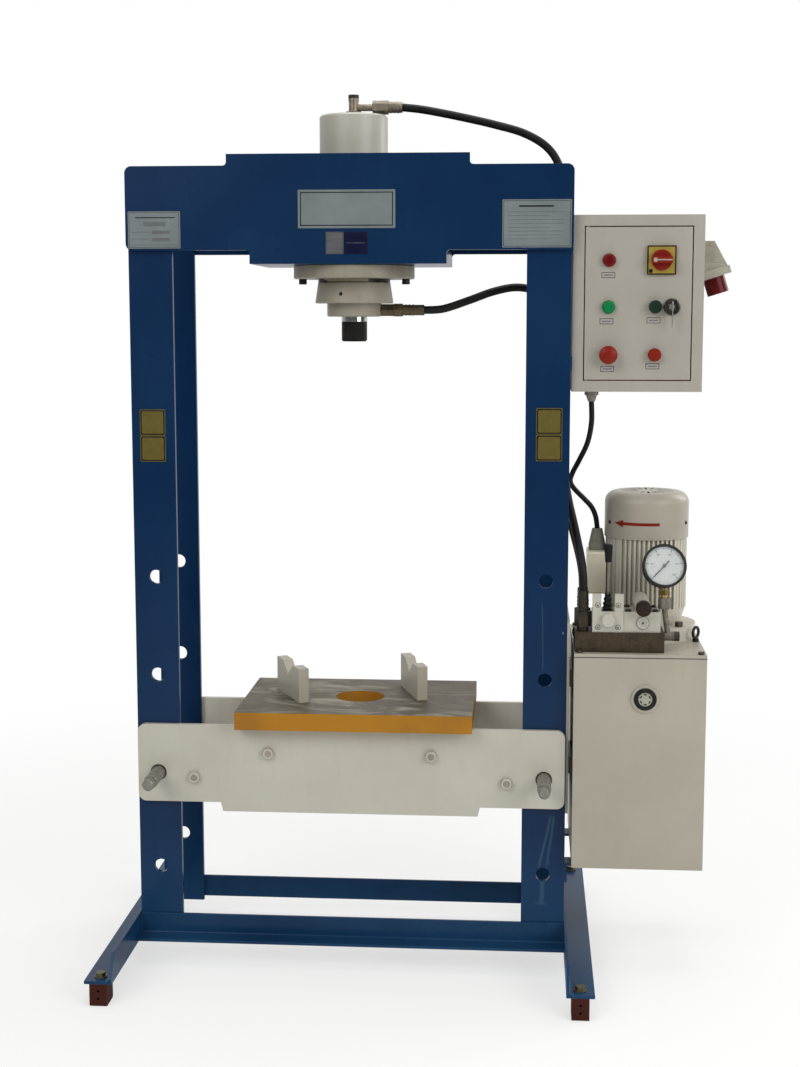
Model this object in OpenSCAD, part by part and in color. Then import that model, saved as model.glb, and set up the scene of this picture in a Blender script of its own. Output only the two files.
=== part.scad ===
// Electric hydraulic shop press: an H-frame of upright flat bars, a bed on pins, one cylinder in the head,
// and a control box and a power unit carried on the right upright. Millimetres, +Z up.
// Everything is drawn about the ram's axis and then moved so that the origin lies on the floor,
// under the middle of the whole part.

/* [Frame] */
// Distance over the outer edges of the uprights
frame_w = 980; // [900:5:1100]
// Depth over the outer faces of the front and rear uprights
frame_d = 265; // [240:5:300]
// Height of the head's end corners above the floor
frame_h = 1813; // [1750:1:1950]
// Width of one upright flat bar
strip_w = 98; // [90:1:110]
// Thickness of one upright flat bar
strip_t = 12; // [8:0.5:16]
// Thickness of the head plates and the bed plates
plate_t = 12; // [8:0.5:16]

/* [Head] */
// Height of the head plates at their ends
head_end_h = 183; // [160:1:200]
// Width of the head plates past the uprights, each side
head_lip = 3; // [1:0.5:8]
// Rise of the raised middle over the ends
head_rise = 25; // [15:1:35]
// Width of the raised middle
head_rise_w = 534; // [480:2:560]
// Drop of the lowered middle under the ends
head_drop = 30; // [20:1:40]
// Width of the lowered middle
head_drop_w = 434; // [400:2:480]
// Radius of the head's outer corners
head_corner_r = 15; // [6:1:25]
// Thickness of the seat plate that carries the cylinder
seat_t = 20; // [14:1:26]

/* [Pin holes] */
// Diameter of the pin holes
pin_hole_d = 32; // [28:0.5:36]
// Distance between two rows of pin holes
pin_pitch = 226; // [215:1:232]
// Height of the lowest row of pin holes
pin_first_z = 221; // [210:1:250]
// Number of rows of pin holes
pin_rows = 4; // [3:1:5]
// Rows of pin holes under the row that carries the bed
bed_rows_up = 1; // [0:1:2]
// Clearance of a pin in its hole, on the diameter
pin_play = 1; // [0.8:0.1:2]
// Length of a pin past the front bed plate
pin_front = 115; // [90:1:130]
// Length of a pin past the rear bed plate
pin_rear = 26; // [10:1:40]
// Diameter of a pin's grip end
pin_grip_d = 26; // [20:0.5:28]

/* [Bed] */
// How far the bed plates end inside the uprights' outer edges, each side
bed_in = 2; // [0:0.5:8]
// Height of the bed plates at their ends
bed_end_h = 181; // [170:1:200]
// Height of the bed's upper edge over its pins
bed_over_pin = 113; // [100:1:125]
// Drop of the lowered middle of the bed plates
bed_drop = 21; // [10:1:30]
// Width of the lowered middle of the bed plates
bed_drop_w = 584; // [540:2:620]
// Radius of the bed plates' end corners
bed_corner_r = 18; // [8:1:24]
// Distance from a bed pin to the outer bed bolt beside it
bed_bolt_gap = 84; // [70:1:95]
// Distance from an outer bed bolt to the inner one beside it
bed_bolt_step = 171; // [150:1:185]
// Depth of the inner bed bolts under the bed's upper edge
bed_bolt_in_down = 63; // [50:1:75]
// Depth of the outer bed bolts under the bed's upper edge
bed_bolt_out_down = 122; // [110:1:130]
// Thread diameter of the bed bolts
bed_bolt_d = 16; // [12:1:18]

/* [Table] */
// Width of the table plate
table_w = 536; // [480:2:580]
// Depth of the table plate
table_d = 374; // [340:2:400]
// Thickness of the table plate
table_t = 40; // [30:1:50]
// Diameter of the hole through the table plate
table_hole_d = 115; // [90:1:130]
// How far the table lies to the right of the ram's axis
table_off = 11; // [-10:1:15]

/* [V-blocks] */
// Length of a V-block
vblock_l = 168; // [150:1:180]
// Thickness of a V-block
vblock_t = 24; // [18:0.5:28]
// Height of a V-block
vblock_h = 79; // [60:1:90]
// Depth of the V
vblock_v_h = 28; // [15:1:30]
// Width of the V at its top
vblock_v_w = 76; // [40:1:90]

/* [Feet] */
// Length of the foot angles, front to back
foot_l = 852; // [800:2:900]
// Width of each leg of a foot angle
foot_leg = 61; // [50:1:70]
// Thickness of a foot angle
foot_t = 7; // [5:0.5:9]
// Height of the foot blocks
block_h = 50; // [40:1:60]
// Width of a foot block
block_w = 38; // [30:1:48]
// Depth of a foot block
block_d = 56; // [45:1:70]
// Width of each leg of a cross angle
cross_leg = 52; // [40:1:60]
// Thickness of a cross angle
cross_t = 6; // [4:0.5:8]

/* [Cylinder] */
// Outer diameter of the barrel
barrel_d = 154; // [146:1:158]
// Inner diameter of the barrel
bore_d = 110; // [100:1:116]
// Height of the barrel over the head's lower edge
barrel_up = 333; // [315:1:360]
// Thickness of the barrel's closed top
barrel_cap_t = 25; // [18:1:32]
// Diameter of the mounting flange
flange_d = 275; // [265:1:290]
// Thickness of the mounting flange
flange_t = 30; // [24:1:36]
// Height of the slotted ring nut
ring_h = 9; // [8:0.5:14]
// Diameter of the slotted ring nut
ring_d = 164; // [162:1:172]
// Height of the tapered collar
collar_h = 46; // [38:1:54]
// Diameter of the collar at its top
collar_top_d = 165; // [164:1:172]
// Diameter of the collar at its bottom
collar_bottom_d = 178; // [174:1:188]
// Diameter of the rod gland
gland_d = 124; // [116:1:134]
// Height of the rod gland under the collar
gland_h = 30; // [26:1:36]
// Diameter of the piston rod
rod_d = 59; // [52:1:64]
// Length of bare rod under the gland at rest
rod_show = 11; // [6:1:20]
// Diameter of the ram nose
nose_d = 58; // [50:1:58]
// Length of the ram nose
nose_h = 45; // [35:1:55]
// Height of the piston
piston_h = 60; // [45:1:70]

/* [Control box] */
// Width of the control box
box_w = 284; // [270:1:300]
// Height of the control box
box_h = 384; // [370:1:400]
// Depth of the control box
box_d = 160; // [140:1:180]
// Height of the control box's upper edge above the floor
box_top_z = 1705; // [1690:1:1720]
// Distance from the front upright's outer face back to the box's front
box_back = 12; // [8:1:20]
// Sheet thickness of the box and its door
box_wall = 2; // [1.5:0.1:2.5]
// Width of the rim round the door
box_rim = 24; // [22:0.5:28]
// Gap between the door and the rim
door_gap = 2.5; // [2:0.1:3]
// Depth of the door's folded edges
door_fold = 14; // [12:0.5:18]
// Thickness of the bars that carry the box
bar_t = 3; // [2:0.5:6]

/* [Power unit] */
// Gap between the upright and the tank
tank_gap = 15; // [12:1:20]
// Width of the tank
tank_w = 293; // [285:1:310]
// Depth of the tank
tank_d = 365; // [350:1:390]
// Height of the tank without its lid
tank_h = 484; // [460:1:500]
// Height of the tank's underside above the floor
tank_z = 250; // [235:1:265]
// Distance of the tank's front in front of the ram's axis
tank_front = 165; // [150:1:175]
// Sheet thickness of the tank
tank_wall = 3; // [2:0.5:5]
// Thickness of the lid
lid_t = 8; // [5:0.5:10]
// Diameter of the motor over its fins
motor_d = 188; // [180:1:194]
// Diameter of the motor's foot flange
motor_foot_d = 234; // [224:1:240]
// Height of the motor's top above the lid
motor_h = 342; // [332:1:360]
// Height of the fan cover
cover_h = 106; // [95:1:115]
// Width of the manifold block
manifold_w = 198; // [190:1:210]
// Depth of the manifold block
manifold_d = 88; // [80:1:94]
// Height of the manifold block
manifold_h = 45; // [38:1:52]
// Diameter of the gauge case
gauge_d = 98; // [90:1:104]
// Outer diameter of the hoses
hose_d = 18; // [14:0.5:20]
// Outer diameter of the motor cable
cable_d = 12; // [9:0.5:14]

/* [Hidden] */
$fn = 64;

// Common values
cut_over = 1;
run_gap = 0.05;
rest_gap = 0.3;
hex_share = 1 / cos(30);

// Places of the frame
post_x = frame_w / 2;
strip_x = post_x - strip_w / 2;
face_y = frame_d / 2;
strip_in_y = face_y - strip_t;
plate_y = face_y + plate_t;
strip_top_gap = 8;
strip_z0 = block_h;
strip_z1 = frame_h - strip_top_gap;
head_z0 = frame_h - head_end_h;
head_low_z = head_z0 - head_drop;
head_root_r = 8;
bed_w = frame_w - 2 * bed_in;
bed_pin_z = pin_first_z + bed_rows_up * pin_pitch;
bed_top_z = bed_pin_z + bed_over_pin;
bed_low_z = bed_top_z - bed_end_h;
bed_slant = 5;
table_top_z = bed_top_z + table_t;

// Places of the control box, the tank and what stands on it
box_x0 = post_x + bar_t;
box_x1 = box_x0 + box_w;
box_y0 = -face_y + box_back;
box_y1 = box_y0 + box_d;
box_z0 = box_top_z - box_h;
hood_reach = 63;
tank_x0 = post_x + tank_gap;
tank_y0 = -tank_front;
tank_y1 = tank_y0 + tank_d;
tank_top_z = tank_z + tank_h;
lid_z = tank_top_z + lid_t;
part_shift = (post_x + foot_leg - box_x1 - hood_reach) / 2;

// Colours
blue = "#1d4a86";
white = "#d9d6cc";
steel = "#9a9a98";
black = "#222224";
red = "#b3261e";

// Puts what is drawn about the ram's axis into the part's own frame
module place() {
    translate([part_shift, 0, 0]) children();
}

// A block between two opposite corners
module block(lo, hi) {
    translate(lo) cube(hi - lo);
}

// A cylinder that runs forward, towards -Y, from the given point
module rod_forward(at, d, l) {
    translate(at) rotate([90, 0, 0]) cylinder(d = d, h = l);
}

// A cylinder that runs to the right, towards +X, from the given point
module rod_right(at, d, l) {
    translate(at) rotate([0, 90, 0]) cylinder(d = d, h = l);
}

// A hexagonal prism standing on Z, given by its width across flats
module hex_prism(af, h) {
    cylinder(d = af * hex_share, h = h, $fn = 6);
}

// The sliver that a rounded outer corner takes away, for the corner at +X and +Y
module corner_cut(r) {
    difference() {
        square(r + cut_over);
        circle(r = r);
    }
}

// A flat rectangle about the origin with round corners
module round_rect(w, h, r) {
    difference() {
        square([w, h], center = true);
        for (sx = [-1, 1], sy = [-1, 1]) scale([sx, sy]) translate([w / 2 - r, h / 2 - r]) corner_cut(r);
    }
}

// Places children on both sides of the middle plane
module both_sides() {
    children();
    mirror([1, 0, 0]) children();
}

// Turns a plate outline drawn in X and Z into a plate whose front face lies at y
module upright_plate(y, t) {
    translate([0, y + t, 0]) rotate([90, 0, 0]) linear_extrude(t) children();
}

// Uprights

module upright() {
    difference() {
        block([post_x - strip_w, -face_y, strip_z0], [post_x, -strip_in_y, strip_z1]);
        for (row = [0 : pin_rows - 1])
            rod_forward([strip_x, -strip_in_y + cut_over, pin_first_z + row * pin_pitch], pin_hole_d,
                strip_t + 2 * cut_over);
    }
}

module post_right_front() color(blue) place() upright();
module post_right_rear() color(blue) place() mirror([0, 1, 0]) upright();
module post_left_front() color(blue) place() mirror([1, 0, 0]) upright();
module post_left_rear() color(blue) place() rotate([0, 0, 180]) upright();

// Head

module head_outline() {
    half = post_x + head_lip;
    low = head_drop_w / 2;
    high = head_rise_w / 2;
    right_edge = [
        [low, head_low_z], [low, head_z0], [half, head_z0], [half, frame_h], [high, frame_h],
        [high, frame_h + head_rise]
    ];
    left_edge = [for (i = [len(right_edge) - 1 : -1 : 0]) [-right_edge[i].x, right_edge[i].y]];
    difference() {
        union() {
            polygon(concat(right_edge, left_edge));
            both_sides() {
                translate([high + head_root_r, frame_h + head_root_r]) rotate(180) corner_cut(head_root_r);
                translate([low + head_root_r, head_z0 - head_root_r]) mirror([1, 0]) corner_cut(head_root_r);
            }
        }
        both_sides() {
            translate([half - head_corner_r, frame_h - head_corner_r]) corner_cut(head_corner_r);
            translate([half - head_corner_r, head_z0 + head_corner_r]) mirror([0, 1])
                corner_cut(head_corner_r);
        }
    }
}

module head_front_plate() color(blue) place() upright_plate(-plate_y, plate_t) head_outline();
module head_rear_plate() color(blue) place() upright_plate(face_y, plate_t) head_outline();

// Seat plate under the head with two upright ribs, welded between the head plates
seat_rib_t = 12;
seat_hole_play = 1;
seat_hole_d = barrel_d + seat_hole_play;
rib_top_gap = 10;

module cylinder_seat() color(blue) place() {
    half = head_drop_w / 2;
    difference() {
        block([-half, -face_y, head_low_z], [half, face_y, head_low_z + seat_t]);
        translate([0, 0, head_low_z - cut_over]) cylinder(d = seat_hole_d, h = seat_t + 2 * cut_over);
        for (s = [-1, 1])
            translate([s * flange_bolt_x, 0, head_low_z - cut_over])
                cylinder(d = flange_bolt_d, h = seat_t + 2 * cut_over);
    }
    both_sides()
        block([half - seat_rib_t, -face_y, head_low_z + seat_t],
            [half, face_y, frame_h + head_rise - rib_top_gap]);
}

// Feet

foot_root_r = 4;
foot_bolt_d = 12;
foot_bolt_y = foot_l / 2 - block_d / 2;
foot_bolt_x = post_x + foot_leg / 2;
foot_bolt_head = 8;
foot_bolt_af = 19;
washer_t = 2.5;
washer_share = 1.5;

// An angle section lying in X and Z, its heel at the origin
module angle_section(leg, t, root) {
    difference() {
        square(leg);
        translate([t + root, t + root]) square(leg);
        translate([t + root, t + root]) circle(r = root);
        translate([t, t + root]) square(leg);
        translate([t + root, t]) square(leg);
    }
    difference() {
        translate([t, t]) square(root);
        translate([t + root, t + root]) circle(r = root);
    }
}

// The corner that is cut off the front end of a foot angle's upright leg
foot_cut_l = 34;

module leg_end_cut() {
    cut_h = foot_leg - foot_t - foot_root_r;
    translate([post_x - cut_over, -foot_l / 2, block_h + foot_t + foot_root_r]) rotate([90, 0, 90])
        linear_extrude(foot_t + 2 * cut_over)
        polygon([[-cut_over, 0], [0, 0], [foot_cut_l, cut_h], [foot_cut_l, cut_h + cut_over], [-cut_over,
            cut_h + cut_over]]);
}

module foot_beam() {
    difference() {
        translate([post_x, foot_l / 2, block_h]) rotate([90, 0, 0]) linear_extrude(foot_l)
            angle_section(foot_leg, foot_t, foot_root_r);
        leg_end_cut();
        mirror([0, 1, 0]) leg_end_cut();
        for (s = [-1, 1])
            translate([foot_bolt_x, s * foot_bolt_y, block_h - cut_over])
                cylinder(d = foot_bolt_d, h = foot_t + 2 * cut_over);
    }
}

module foot_beams() color(blue) place() both_sides() foot_beam();

module cross_angle() {
    translate([-post_x, -face_y, block_h + foot_t]) rotate([90, 0, 90]) linear_extrude(frame_w)
        mirror([1, 0])
        angle_section(cross_leg, cross_t, foot_root_r);
}

module cross_angles() color(blue) place() {
    cross_angle();
    mirror([0, 1, 0]) cross_angle();
}

// Foot block with a thinner tongue that runs on under the foot angle
tongue_t = 14;
tongue_l = 40;
block_edge = 3;
block_hole_d = 6;
block_hole_l = 14;
block_hole_low = 17;
block_hole_step = 17;

module foot_block() {
    bolt_over = tongue_t + cut_over;
    difference() {
        translate([foot_bolt_x - block_w / 2, -foot_l / 2, 0]) rotate([90, 0, 90]) linear_extrude(block_w)
            polygon([
                [block_edge, 0], [block_d - block_edge, 0], [block_d, block_edge], [block_d,
                    block_h - tongue_t],
                [block_d + tongue_l, block_h - tongue_t], [block_d + tongue_l, block_h], [0, block_h],
                [0, block_edge]
            ]);
        translate([foot_bolt_x, -foot_bolt_y, block_h - bolt_over]) cylinder(d = foot_bolt_d,
            h = bolt_over + cut_over);
        for (i = [0, 1])
            rod_forward([foot_bolt_x, -foot_l / 2 + block_hole_l, block_hole_low + i * block_hole_step],
                block_hole_d, block_hole_l + cut_over);
    }
}

module foot_blocks() color("#5a2420") place() both_sides() {
    foot_block();
    mirror([0, 1, 0]) foot_block();
}

// Bed

module bed_outline() {
    half = bed_w / 2;
    low = bed_drop_w / 2;
    difference() {
        polygon([
            [-low, bed_low_z - bed_drop], [low, bed_low_z - bed_drop], [low + bed_slant, bed_low_z],
            [half, bed_low_z], [half, bed_top_z], [-half, bed_top_z], [-half, bed_low_z],
            [-low - bed_slant, bed_low_z]
        ]);
        both_sides() {
            translate([half - bed_corner_r, bed_top_z - bed_corner_r]) corner_cut(bed_corner_r);
            translate([half - bed_corner_r, bed_low_z + bed_corner_r]) mirror([0, 1])
                corner_cut(bed_corner_r);
            translate([strip_x, bed_pin_z]) circle(d = pin_hole_d);
            for (p = bed_bolts) translate(p) circle(d = bed_bolt_d);
        }
    }
}

bed_bolt_x = strip_x - bed_bolt_gap;
bed_bolts = [[bed_bolt_x - bed_bolt_step, bed_top_z - bed_bolt_in_down], [bed_bolt_x,
    bed_top_z - bed_bolt_out_down]];
spacer_wall = 6;
bolt_head_share = 0.65;
bolt_af_share = 1.5;
bolt_end = 10;

module bed_plates() color(white) place() for (y = [-plate_y, face_y]) upright_plate(y, plate_t) bed_outline();

module bed_spacers() color(steel) place() both_sides() for (p = bed_bolts) difference() {
    rod_forward([p.x, face_y, p.y], bed_bolt_d + 2 * spacer_wall, frame_d);
    rod_forward([p.x, face_y + cut_over, p.y], bed_bolt_d + pin_play, frame_d + 2 * cut_over);
}

// A pin with a chamfered tail, a plain shank and a slimmer grip end
pin_d = pin_hole_d - pin_play;
pin_tip = 3;
pin_step_l = 30;

module bed_pin() {
    front = -plate_y - pin_front;
    rear = plate_y + pin_rear;
    shank = rear - front - pin_step_l;
    translate([strip_x, front, bed_pin_z]) rotate([-90, 0, 0]) rotate_extrude()
        polygon([
            [0, 0], [pin_grip_d / 2 - pin_tip, 0], [pin_grip_d / 2, pin_tip], [pin_grip_d / 2, pin_step_l],
            [pin_d / 2 - pin_tip / 2, pin_step_l], [pin_d / 2, pin_step_l + pin_tip / 2],
            [pin_d / 2, pin_step_l + shank - pin_tip], [pin_d / 2 - pin_tip, pin_step_l + shank],
            [0, pin_step_l + shank]
        ]);
}

module pin_right() color(steel) place() bed_pin();
module pin_left() color(steel) place() mirror([1, 0, 0]) bed_pin();

// Table plate and V-blocks

module table_plate() color("#8d8a82") place() difference() {
    block([table_off - table_w / 2, -table_d / 2, bed_top_z], [table_off + table_w / 2, table_d / 2,
        table_top_z]);
    translate([table_off, 0, bed_top_z - cut_over]) cylinder(d = table_hole_d, h = table_t + 2 * cut_over);
}

vblock_share = [[-0.277, -0.003], [0.25, 0.129]];
vblock_turn = [25.5, 17.5];

module v_block() {
    rotate([90, 0, 90]) translate([0, 0, -vblock_t / 2]) linear_extrude(vblock_t)
        polygon([
            [-vblock_l / 2, 0], [vblock_l / 2, 0], [vblock_l / 2, vblock_h], [vblock_v_w / 2, vblock_h],
            [0, vblock_h - vblock_v_h], [-vblock_v_w / 2, vblock_h], [-vblock_l / 2, vblock_h]
        ]);
}

module v_blocks() color(white) place() for (i = [0, 1])
    translate([vblock_share[i].x * table_w, vblock_share[i].y * table_d, table_top_z])
        rotate([0, 0, vblock_turn[i]])
        v_block();

// Cylinder, from the flange under the seat plate down to the ram nose

flange_z = head_low_z - flange_t;
ring_z = flange_z - ring_h;
collar_z = ring_z - collar_h;
gland_z = collar_z - gland_h;
nose_z = gland_z - rod_show - nose_h;
barrel_top_z = head_low_z + barrel_up;
barrel_edge = 4;
port_d = 14;
flange_bolt_in = 19.5;
flange_bolt_x = flange_d / 2 - flange_bolt_in;
flange_bolt_d = 12;
flange_bolt_head_d = 18;
flange_edge = 2;

module cylinder_barrel() color(white) place() difference() {
    rotate_extrude() polygon([
        [bore_d / 2, collar_z], [barrel_d / 2, collar_z], [barrel_d / 2, barrel_top_z - barrel_edge],
        [barrel_d / 2 - barrel_edge, barrel_top_z], [port_d / 2, barrel_top_z],
        [port_d / 2, barrel_top_z - barrel_cap_t], [bore_d / 2, barrel_top_z - barrel_cap_t]
    ]);
    cylinder(d = port_d, h = barrel_top_z + cut_over);
}

module cylinder_flange() color(white) place() difference() {
    rotate_extrude() polygon([
        [barrel_d / 2, flange_z], [flange_d / 2 - flange_edge, flange_z], [flange_d / 2,
            flange_z + flange_edge],
        [flange_d / 2, head_low_z - flange_edge], [flange_d / 2 - flange_edge, head_low_z], [barrel_d / 2,
            head_low_z]
    ]);
    for (s = [-1, 1])
        translate([s * flange_bolt_x, 0, flange_z - cut_over]) cylinder(d = flange_bolt_d,
            h = flange_t + 2 * cut_over);
}

ring_slots = 4;
ring_slot_w = 12;
ring_slot_h = 5;

module ring_nut() color(white) place() translate([0, 0, ring_z]) difference() {
    cylinder(d = ring_d, h = ring_h);
    translate([0, 0, -cut_over]) cylinder(d = barrel_d, h = ring_h + 2 * cut_over);
    for (i = [0 : ring_slots - 1]) rotate([0, 0, 45 + i * 360 / ring_slots])
        translate([barrel_d / 2, -ring_slot_w / 2, -cut_over]) cube([ring_d, ring_slot_w,
            ring_slot_h + cut_over]);
}

collar_hole_d = 9;
collar_hole_turn = -105;
collar_hole_share = 0.45;

module tapered_collar() color(white) place() translate([0, 0, collar_z]) difference() {
    rotate_extrude() polygon([
        [barrel_d / 2, 0], [collar_bottom_d / 2 - flange_edge, 0], [collar_bottom_d / 2, flange_edge],
        [collar_top_d / 2, collar_h], [barrel_d / 2, collar_h]
    ]);
    rotate([0, 0, collar_hole_turn]) rod_right([barrel_d / 2, 0, collar_h * collar_hole_share],
        collar_hole_d, collar_bottom_d);
}

gland_spigot_h = 30;
gland_edge = 3;

module rod_gland() color(white) place() difference() {
    rotate_extrude() polygon([
        [rod_d / 2 + run_gap, gland_z], [gland_d / 2 - gland_edge, gland_z], [gland_d / 2,
            gland_z + gland_edge],
        [gland_d / 2, collar_z], [bore_d / 2, collar_z], [bore_d / 2, collar_z + gland_spigot_h],
        [rod_d / 2 + run_gap, collar_z + gland_spigot_h]
    ]);
    rod_right([rod_d / 2, 0, low_port_z], port_d, gland_d);
}

piston_top_gap = 5;
nose_spigot_d = 30;
nose_spigot_h = 20;
nose_edge = 3;

module piston_rod() color("#b9b9b6") place() {
    top = barrel_top_z - barrel_cap_t - piston_top_gap;
    rotate_extrude() polygon([
        [0, nose_z + nose_h + nose_spigot_h], [nose_spigot_d / 2, nose_z + nose_h + nose_spigot_h],
        [nose_spigot_d / 2, nose_z + nose_h], [rod_d / 2, nose_z + nose_h], [rod_d / 2, top - piston_h],
        [bore_d / 2 - run_gap, top - piston_h], [bore_d / 2 - run_gap, top], [0, top]
    ]);
}

module ram_nose() color(black) place() rotate_extrude() polygon([
    [0, nose_z], [nose_d / 2 - nose_edge, nose_z], [nose_d / 2, nose_z + nose_edge],
    [nose_d / 2, nose_z + nose_h], [nose_spigot_d / 2, nose_z + nose_h],
    [nose_spigot_d / 2, nose_z + nose_h + nose_spigot_h], [0, nose_z + nose_h + nose_spigot_h]
]);

// Oil fittings on the cylinder: a standing one with a branch at the top, one in the side of the gland
low_port_z = gland_z + gland_h / 2;
fit_hex_af = 30;
fit_hex_h = 10;
fit_body_d = 22;
fit_body_h = 22;
fit_cap_d = 24;
fit_cap_h = 14;
branch_up = 18;
branch_z = barrel_top_z + branch_up;
branch_hex_x = 43;
branch_hex_l = 36;
branch_ferrule_l = 31;
ferrule_d = 24;
low_hex_l = 27;
low_ferrule_l = 71;
hose_start = [branch_hex_x + branch_hex_l + branch_ferrule_l, 0, branch_z];
low_hose_start = [gland_d / 2 + low_hex_l + low_ferrule_l, 0, low_port_z];

module cylinder_fittings() color(steel) place() {
    translate([0, 0, barrel_top_z]) {
        hex_prism(fit_hex_af, fit_hex_h);
        translate([0, 0, fit_hex_h]) cylinder(d = fit_body_d, h = fit_body_h);
        translate([0, 0, fit_hex_h + fit_body_h]) cylinder(d = fit_cap_d, h = fit_cap_h);
    }
    rod_right([0, 0, branch_z], fit_body_d * fit_neck_share, branch_hex_x);
    translate([branch_hex_x, 0, branch_z]) rotate([0, 90, 0]) hex_prism(fit_hex_af * fit_small_share,
        branch_hex_l);
    rod_right([branch_hex_x + branch_hex_l, 0, branch_z], ferrule_d, branch_ferrule_l);
    difference() {
        union() {
            translate([0, 0, low_port_z]) rotate([0, 90, 0]) rotate(30)
                hex_prism(fit_hex_af * fit_small_share, gland_d / 2 + low_hex_l);
            rod_right([gland_d / 2 + low_hex_l, 0, low_port_z], ferrule_d, low_ferrule_l);
        }
        translate([0, 0, gland_z - cut_over]) cylinder(d = gland_d, h = gland_h + 2 * cut_over);
    }
}

fit_neck_share = 0.7;
fit_small_share = 0.9;

// Control box: a sheet shell with a rim, hinge blocks inside and a folded door

hinge_in = 5;
hinge_pin_d = 6;
hinge_pin_l = 9;
hinge_block = 16;
door_x0 = box_x0 + box_rim + door_gap;
door_x1 = box_x1 - box_rim - door_gap;
door_z0 = box_z0 + box_rim + door_gap;
door_z1 = box_top_z - box_rim - door_gap;
door_y1 = box_y0 + door_fold;
hinge_x = door_x0 + hinge_in;
hinge_y = box_y0 + hinge_in;

module hinge_hole() {
    cylinder(d = hinge_pin_d + 2 * run_gap, h = hinge_pin_l + door_gap + cut_over);
}

module box_shell() color(white) place() difference() {
    union() {
        difference() {
            block([box_x0, box_y0, box_z0], [box_x1, box_y1, box_top_z]);
            block([box_x0 + box_wall, box_y0 + box_wall, box_z0 + box_wall],
                [box_x1 - box_wall, box_y1 - box_wall, box_top_z - box_wall]);
            block([box_x0 + box_rim, box_y0 - cut_over, box_z0 + box_rim],
                [box_x1 - box_rim, box_y0 + box_wall + cut_over, box_top_z - box_rim]);
        }
        for (z = [box_z0 + box_rim - hinge_block, box_top_z - box_rim])
            block([hinge_x - hinge_block / 2, box_y0, z], [hinge_x + hinge_block / 2,
                box_y0 + hinge_block, z + hinge_block]);
    }
    translate([hinge_x, hinge_y, door_z1]) hinge_hole();
    translate([hinge_x, hinge_y, door_z0]) mirror([0, 0, 1]) hinge_hole();
    translate([gland_x, gland_y, box_z0 - cut_over]) cylinder(d = gland_thread_d,
        h = box_wall + 2 * cut_over);
}

// Places on the door, from the box's left edge and its upper edge
lamp_col = 78;
button_col = 179;
lock_col = 215;
switch_col = 191;
row_one = 98;
row_two = 199;
row_three = 303;
panel_hole_d = 22;
lock_d = 19;

// A place on the door's front face
function on_door(col, row) = [box_x0 + col, box_y0, box_top_z - row];

module box_door() color(white) place() difference() {
    union() {
        difference() {
            block([door_x0, box_y0, door_z0], [door_x1, door_y1, door_z1]);
            block([door_x0 + box_wall, box_y0 + box_wall, door_z0 + box_wall],
                [door_x1 - box_wall, door_y1 + cut_over, door_z1 - box_wall]);
        }
        for (z = [door_z0, door_z1 - hinge_block])
            block([door_x0, box_y0, z], [hinge_x + hinge_in, door_y1, z + hinge_block]);
        translate([hinge_x, hinge_y, door_z1]) cylinder(d = hinge_pin_d, h = hinge_pin_l);
        translate([hinge_x, hinge_y, door_z0 - hinge_pin_l]) cylinder(d = hinge_pin_d, h = hinge_pin_l);
    }
    for (p = [[lamp_col, row_one], [lamp_col, row_two], [lamp_col, row_three], [button_col, row_two],
            [button_col, row_three], [switch_col, row_one]])
        rod_forward(on_door(p.x, p.y) + [0, door_fold, 0], panel_hole_d, door_fold + cut_over);
    rod_forward(on_door(lock_col, row_two) + [0, door_fold, 0], lock_d, door_fold + cut_over);
}

// Main switch
switch_plate_w = 63;
switch_plate_t = 8;
switch_plate_r = 6;
switch_body_l = 40;
switch_shaft_d = 10;
knob_d = 45;
knob_h = 8;
knob_bar_w = 14;
knob_bar_h = 16;
knob_shaft_l = 20;

module switch_plate() color("#e0b020") place() translate(on_door(switch_col, row_one)) difference() {
    union() {
        rotate([90, 0, 0]) linear_extrude(switch_plate_t) round_rect(switch_plate_w, switch_plate_w,
            switch_plate_r);
        rod_forward([0, switch_body_l, 0], panel_hole_d, switch_body_l);
    }
    rod_forward([0, knob_shaft_l - switch_plate_t + cut_over, 0], switch_shaft_d + 2 * run_gap,
        knob_shaft_l + 2 * cut_over);
}

module switch_knob() color(red) place() translate(on_door(switch_col, row_one) - [0,
    switch_plate_t + rest_gap, 0]) {
    rod_forward([0, 0, 0], knob_d, knob_h);
    difference() {
        rod_forward([0, -knob_h, 0], knob_d, knob_bar_h);
        for (s = [0, 1]) mirror([0, 0, s])
            translate([-knob_d, -knob_h - knob_bar_h - cut_over, knob_bar_w / 2])
                cube([2 * knob_d, knob_bar_h + cut_over, knob_d]);
    }
    rod_forward([0, knob_shaft_l - switch_plate_t, 0], switch_shaft_d, knob_shaft_l - switch_plate_t);
}

// Lamps: a flat lens with a round edge on a collar, and its body through the door
lamp_d = 29;
lamp_rim_h = 4;
lens_d = 27;
lens_h = 10;
lens_round = 5;
lamp_body_l = 42;

module lamp(row) {
    translate(on_door(lamp_col, row)) {
        rotate([90, 0, 0]) rotate_extrude() {
            square([lamp_d / 2, lamp_rim_h]);
            translate([0, lamp_rim_h]) difference() {
                square([lens_d / 2, lens_h]);
                translate([lens_d / 2 - lens_round, lens_h - lens_round]) corner_cut(lens_round);
            }
        }
        rod_forward([0, lamp_body_l, 0], panel_hole_d, lamp_body_l);
    }
}

module power_lamp() color(red) place() lamp(row_one);
module pump_lamp() color("#2c9a52") place() lamp(row_two);

// Push buttons: bezels with a barrel and a contact block behind the door, and wide caps on sliding stems
bezel_d = 26;
bezel_h = 4;
tall_bezel_h = 9;
cap_d = 29;
cap_h = 8;
cap_edge = 2;
push_travel = 4;
stem_d = 12;
stem_l = 24;
contact_w = 30;
contact_h = 40;
contact_l = 34;
stem_room = 8;
mushroom_d = 40;
mushroom_h = 15;
mushroom_neck_h = 16;

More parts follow.
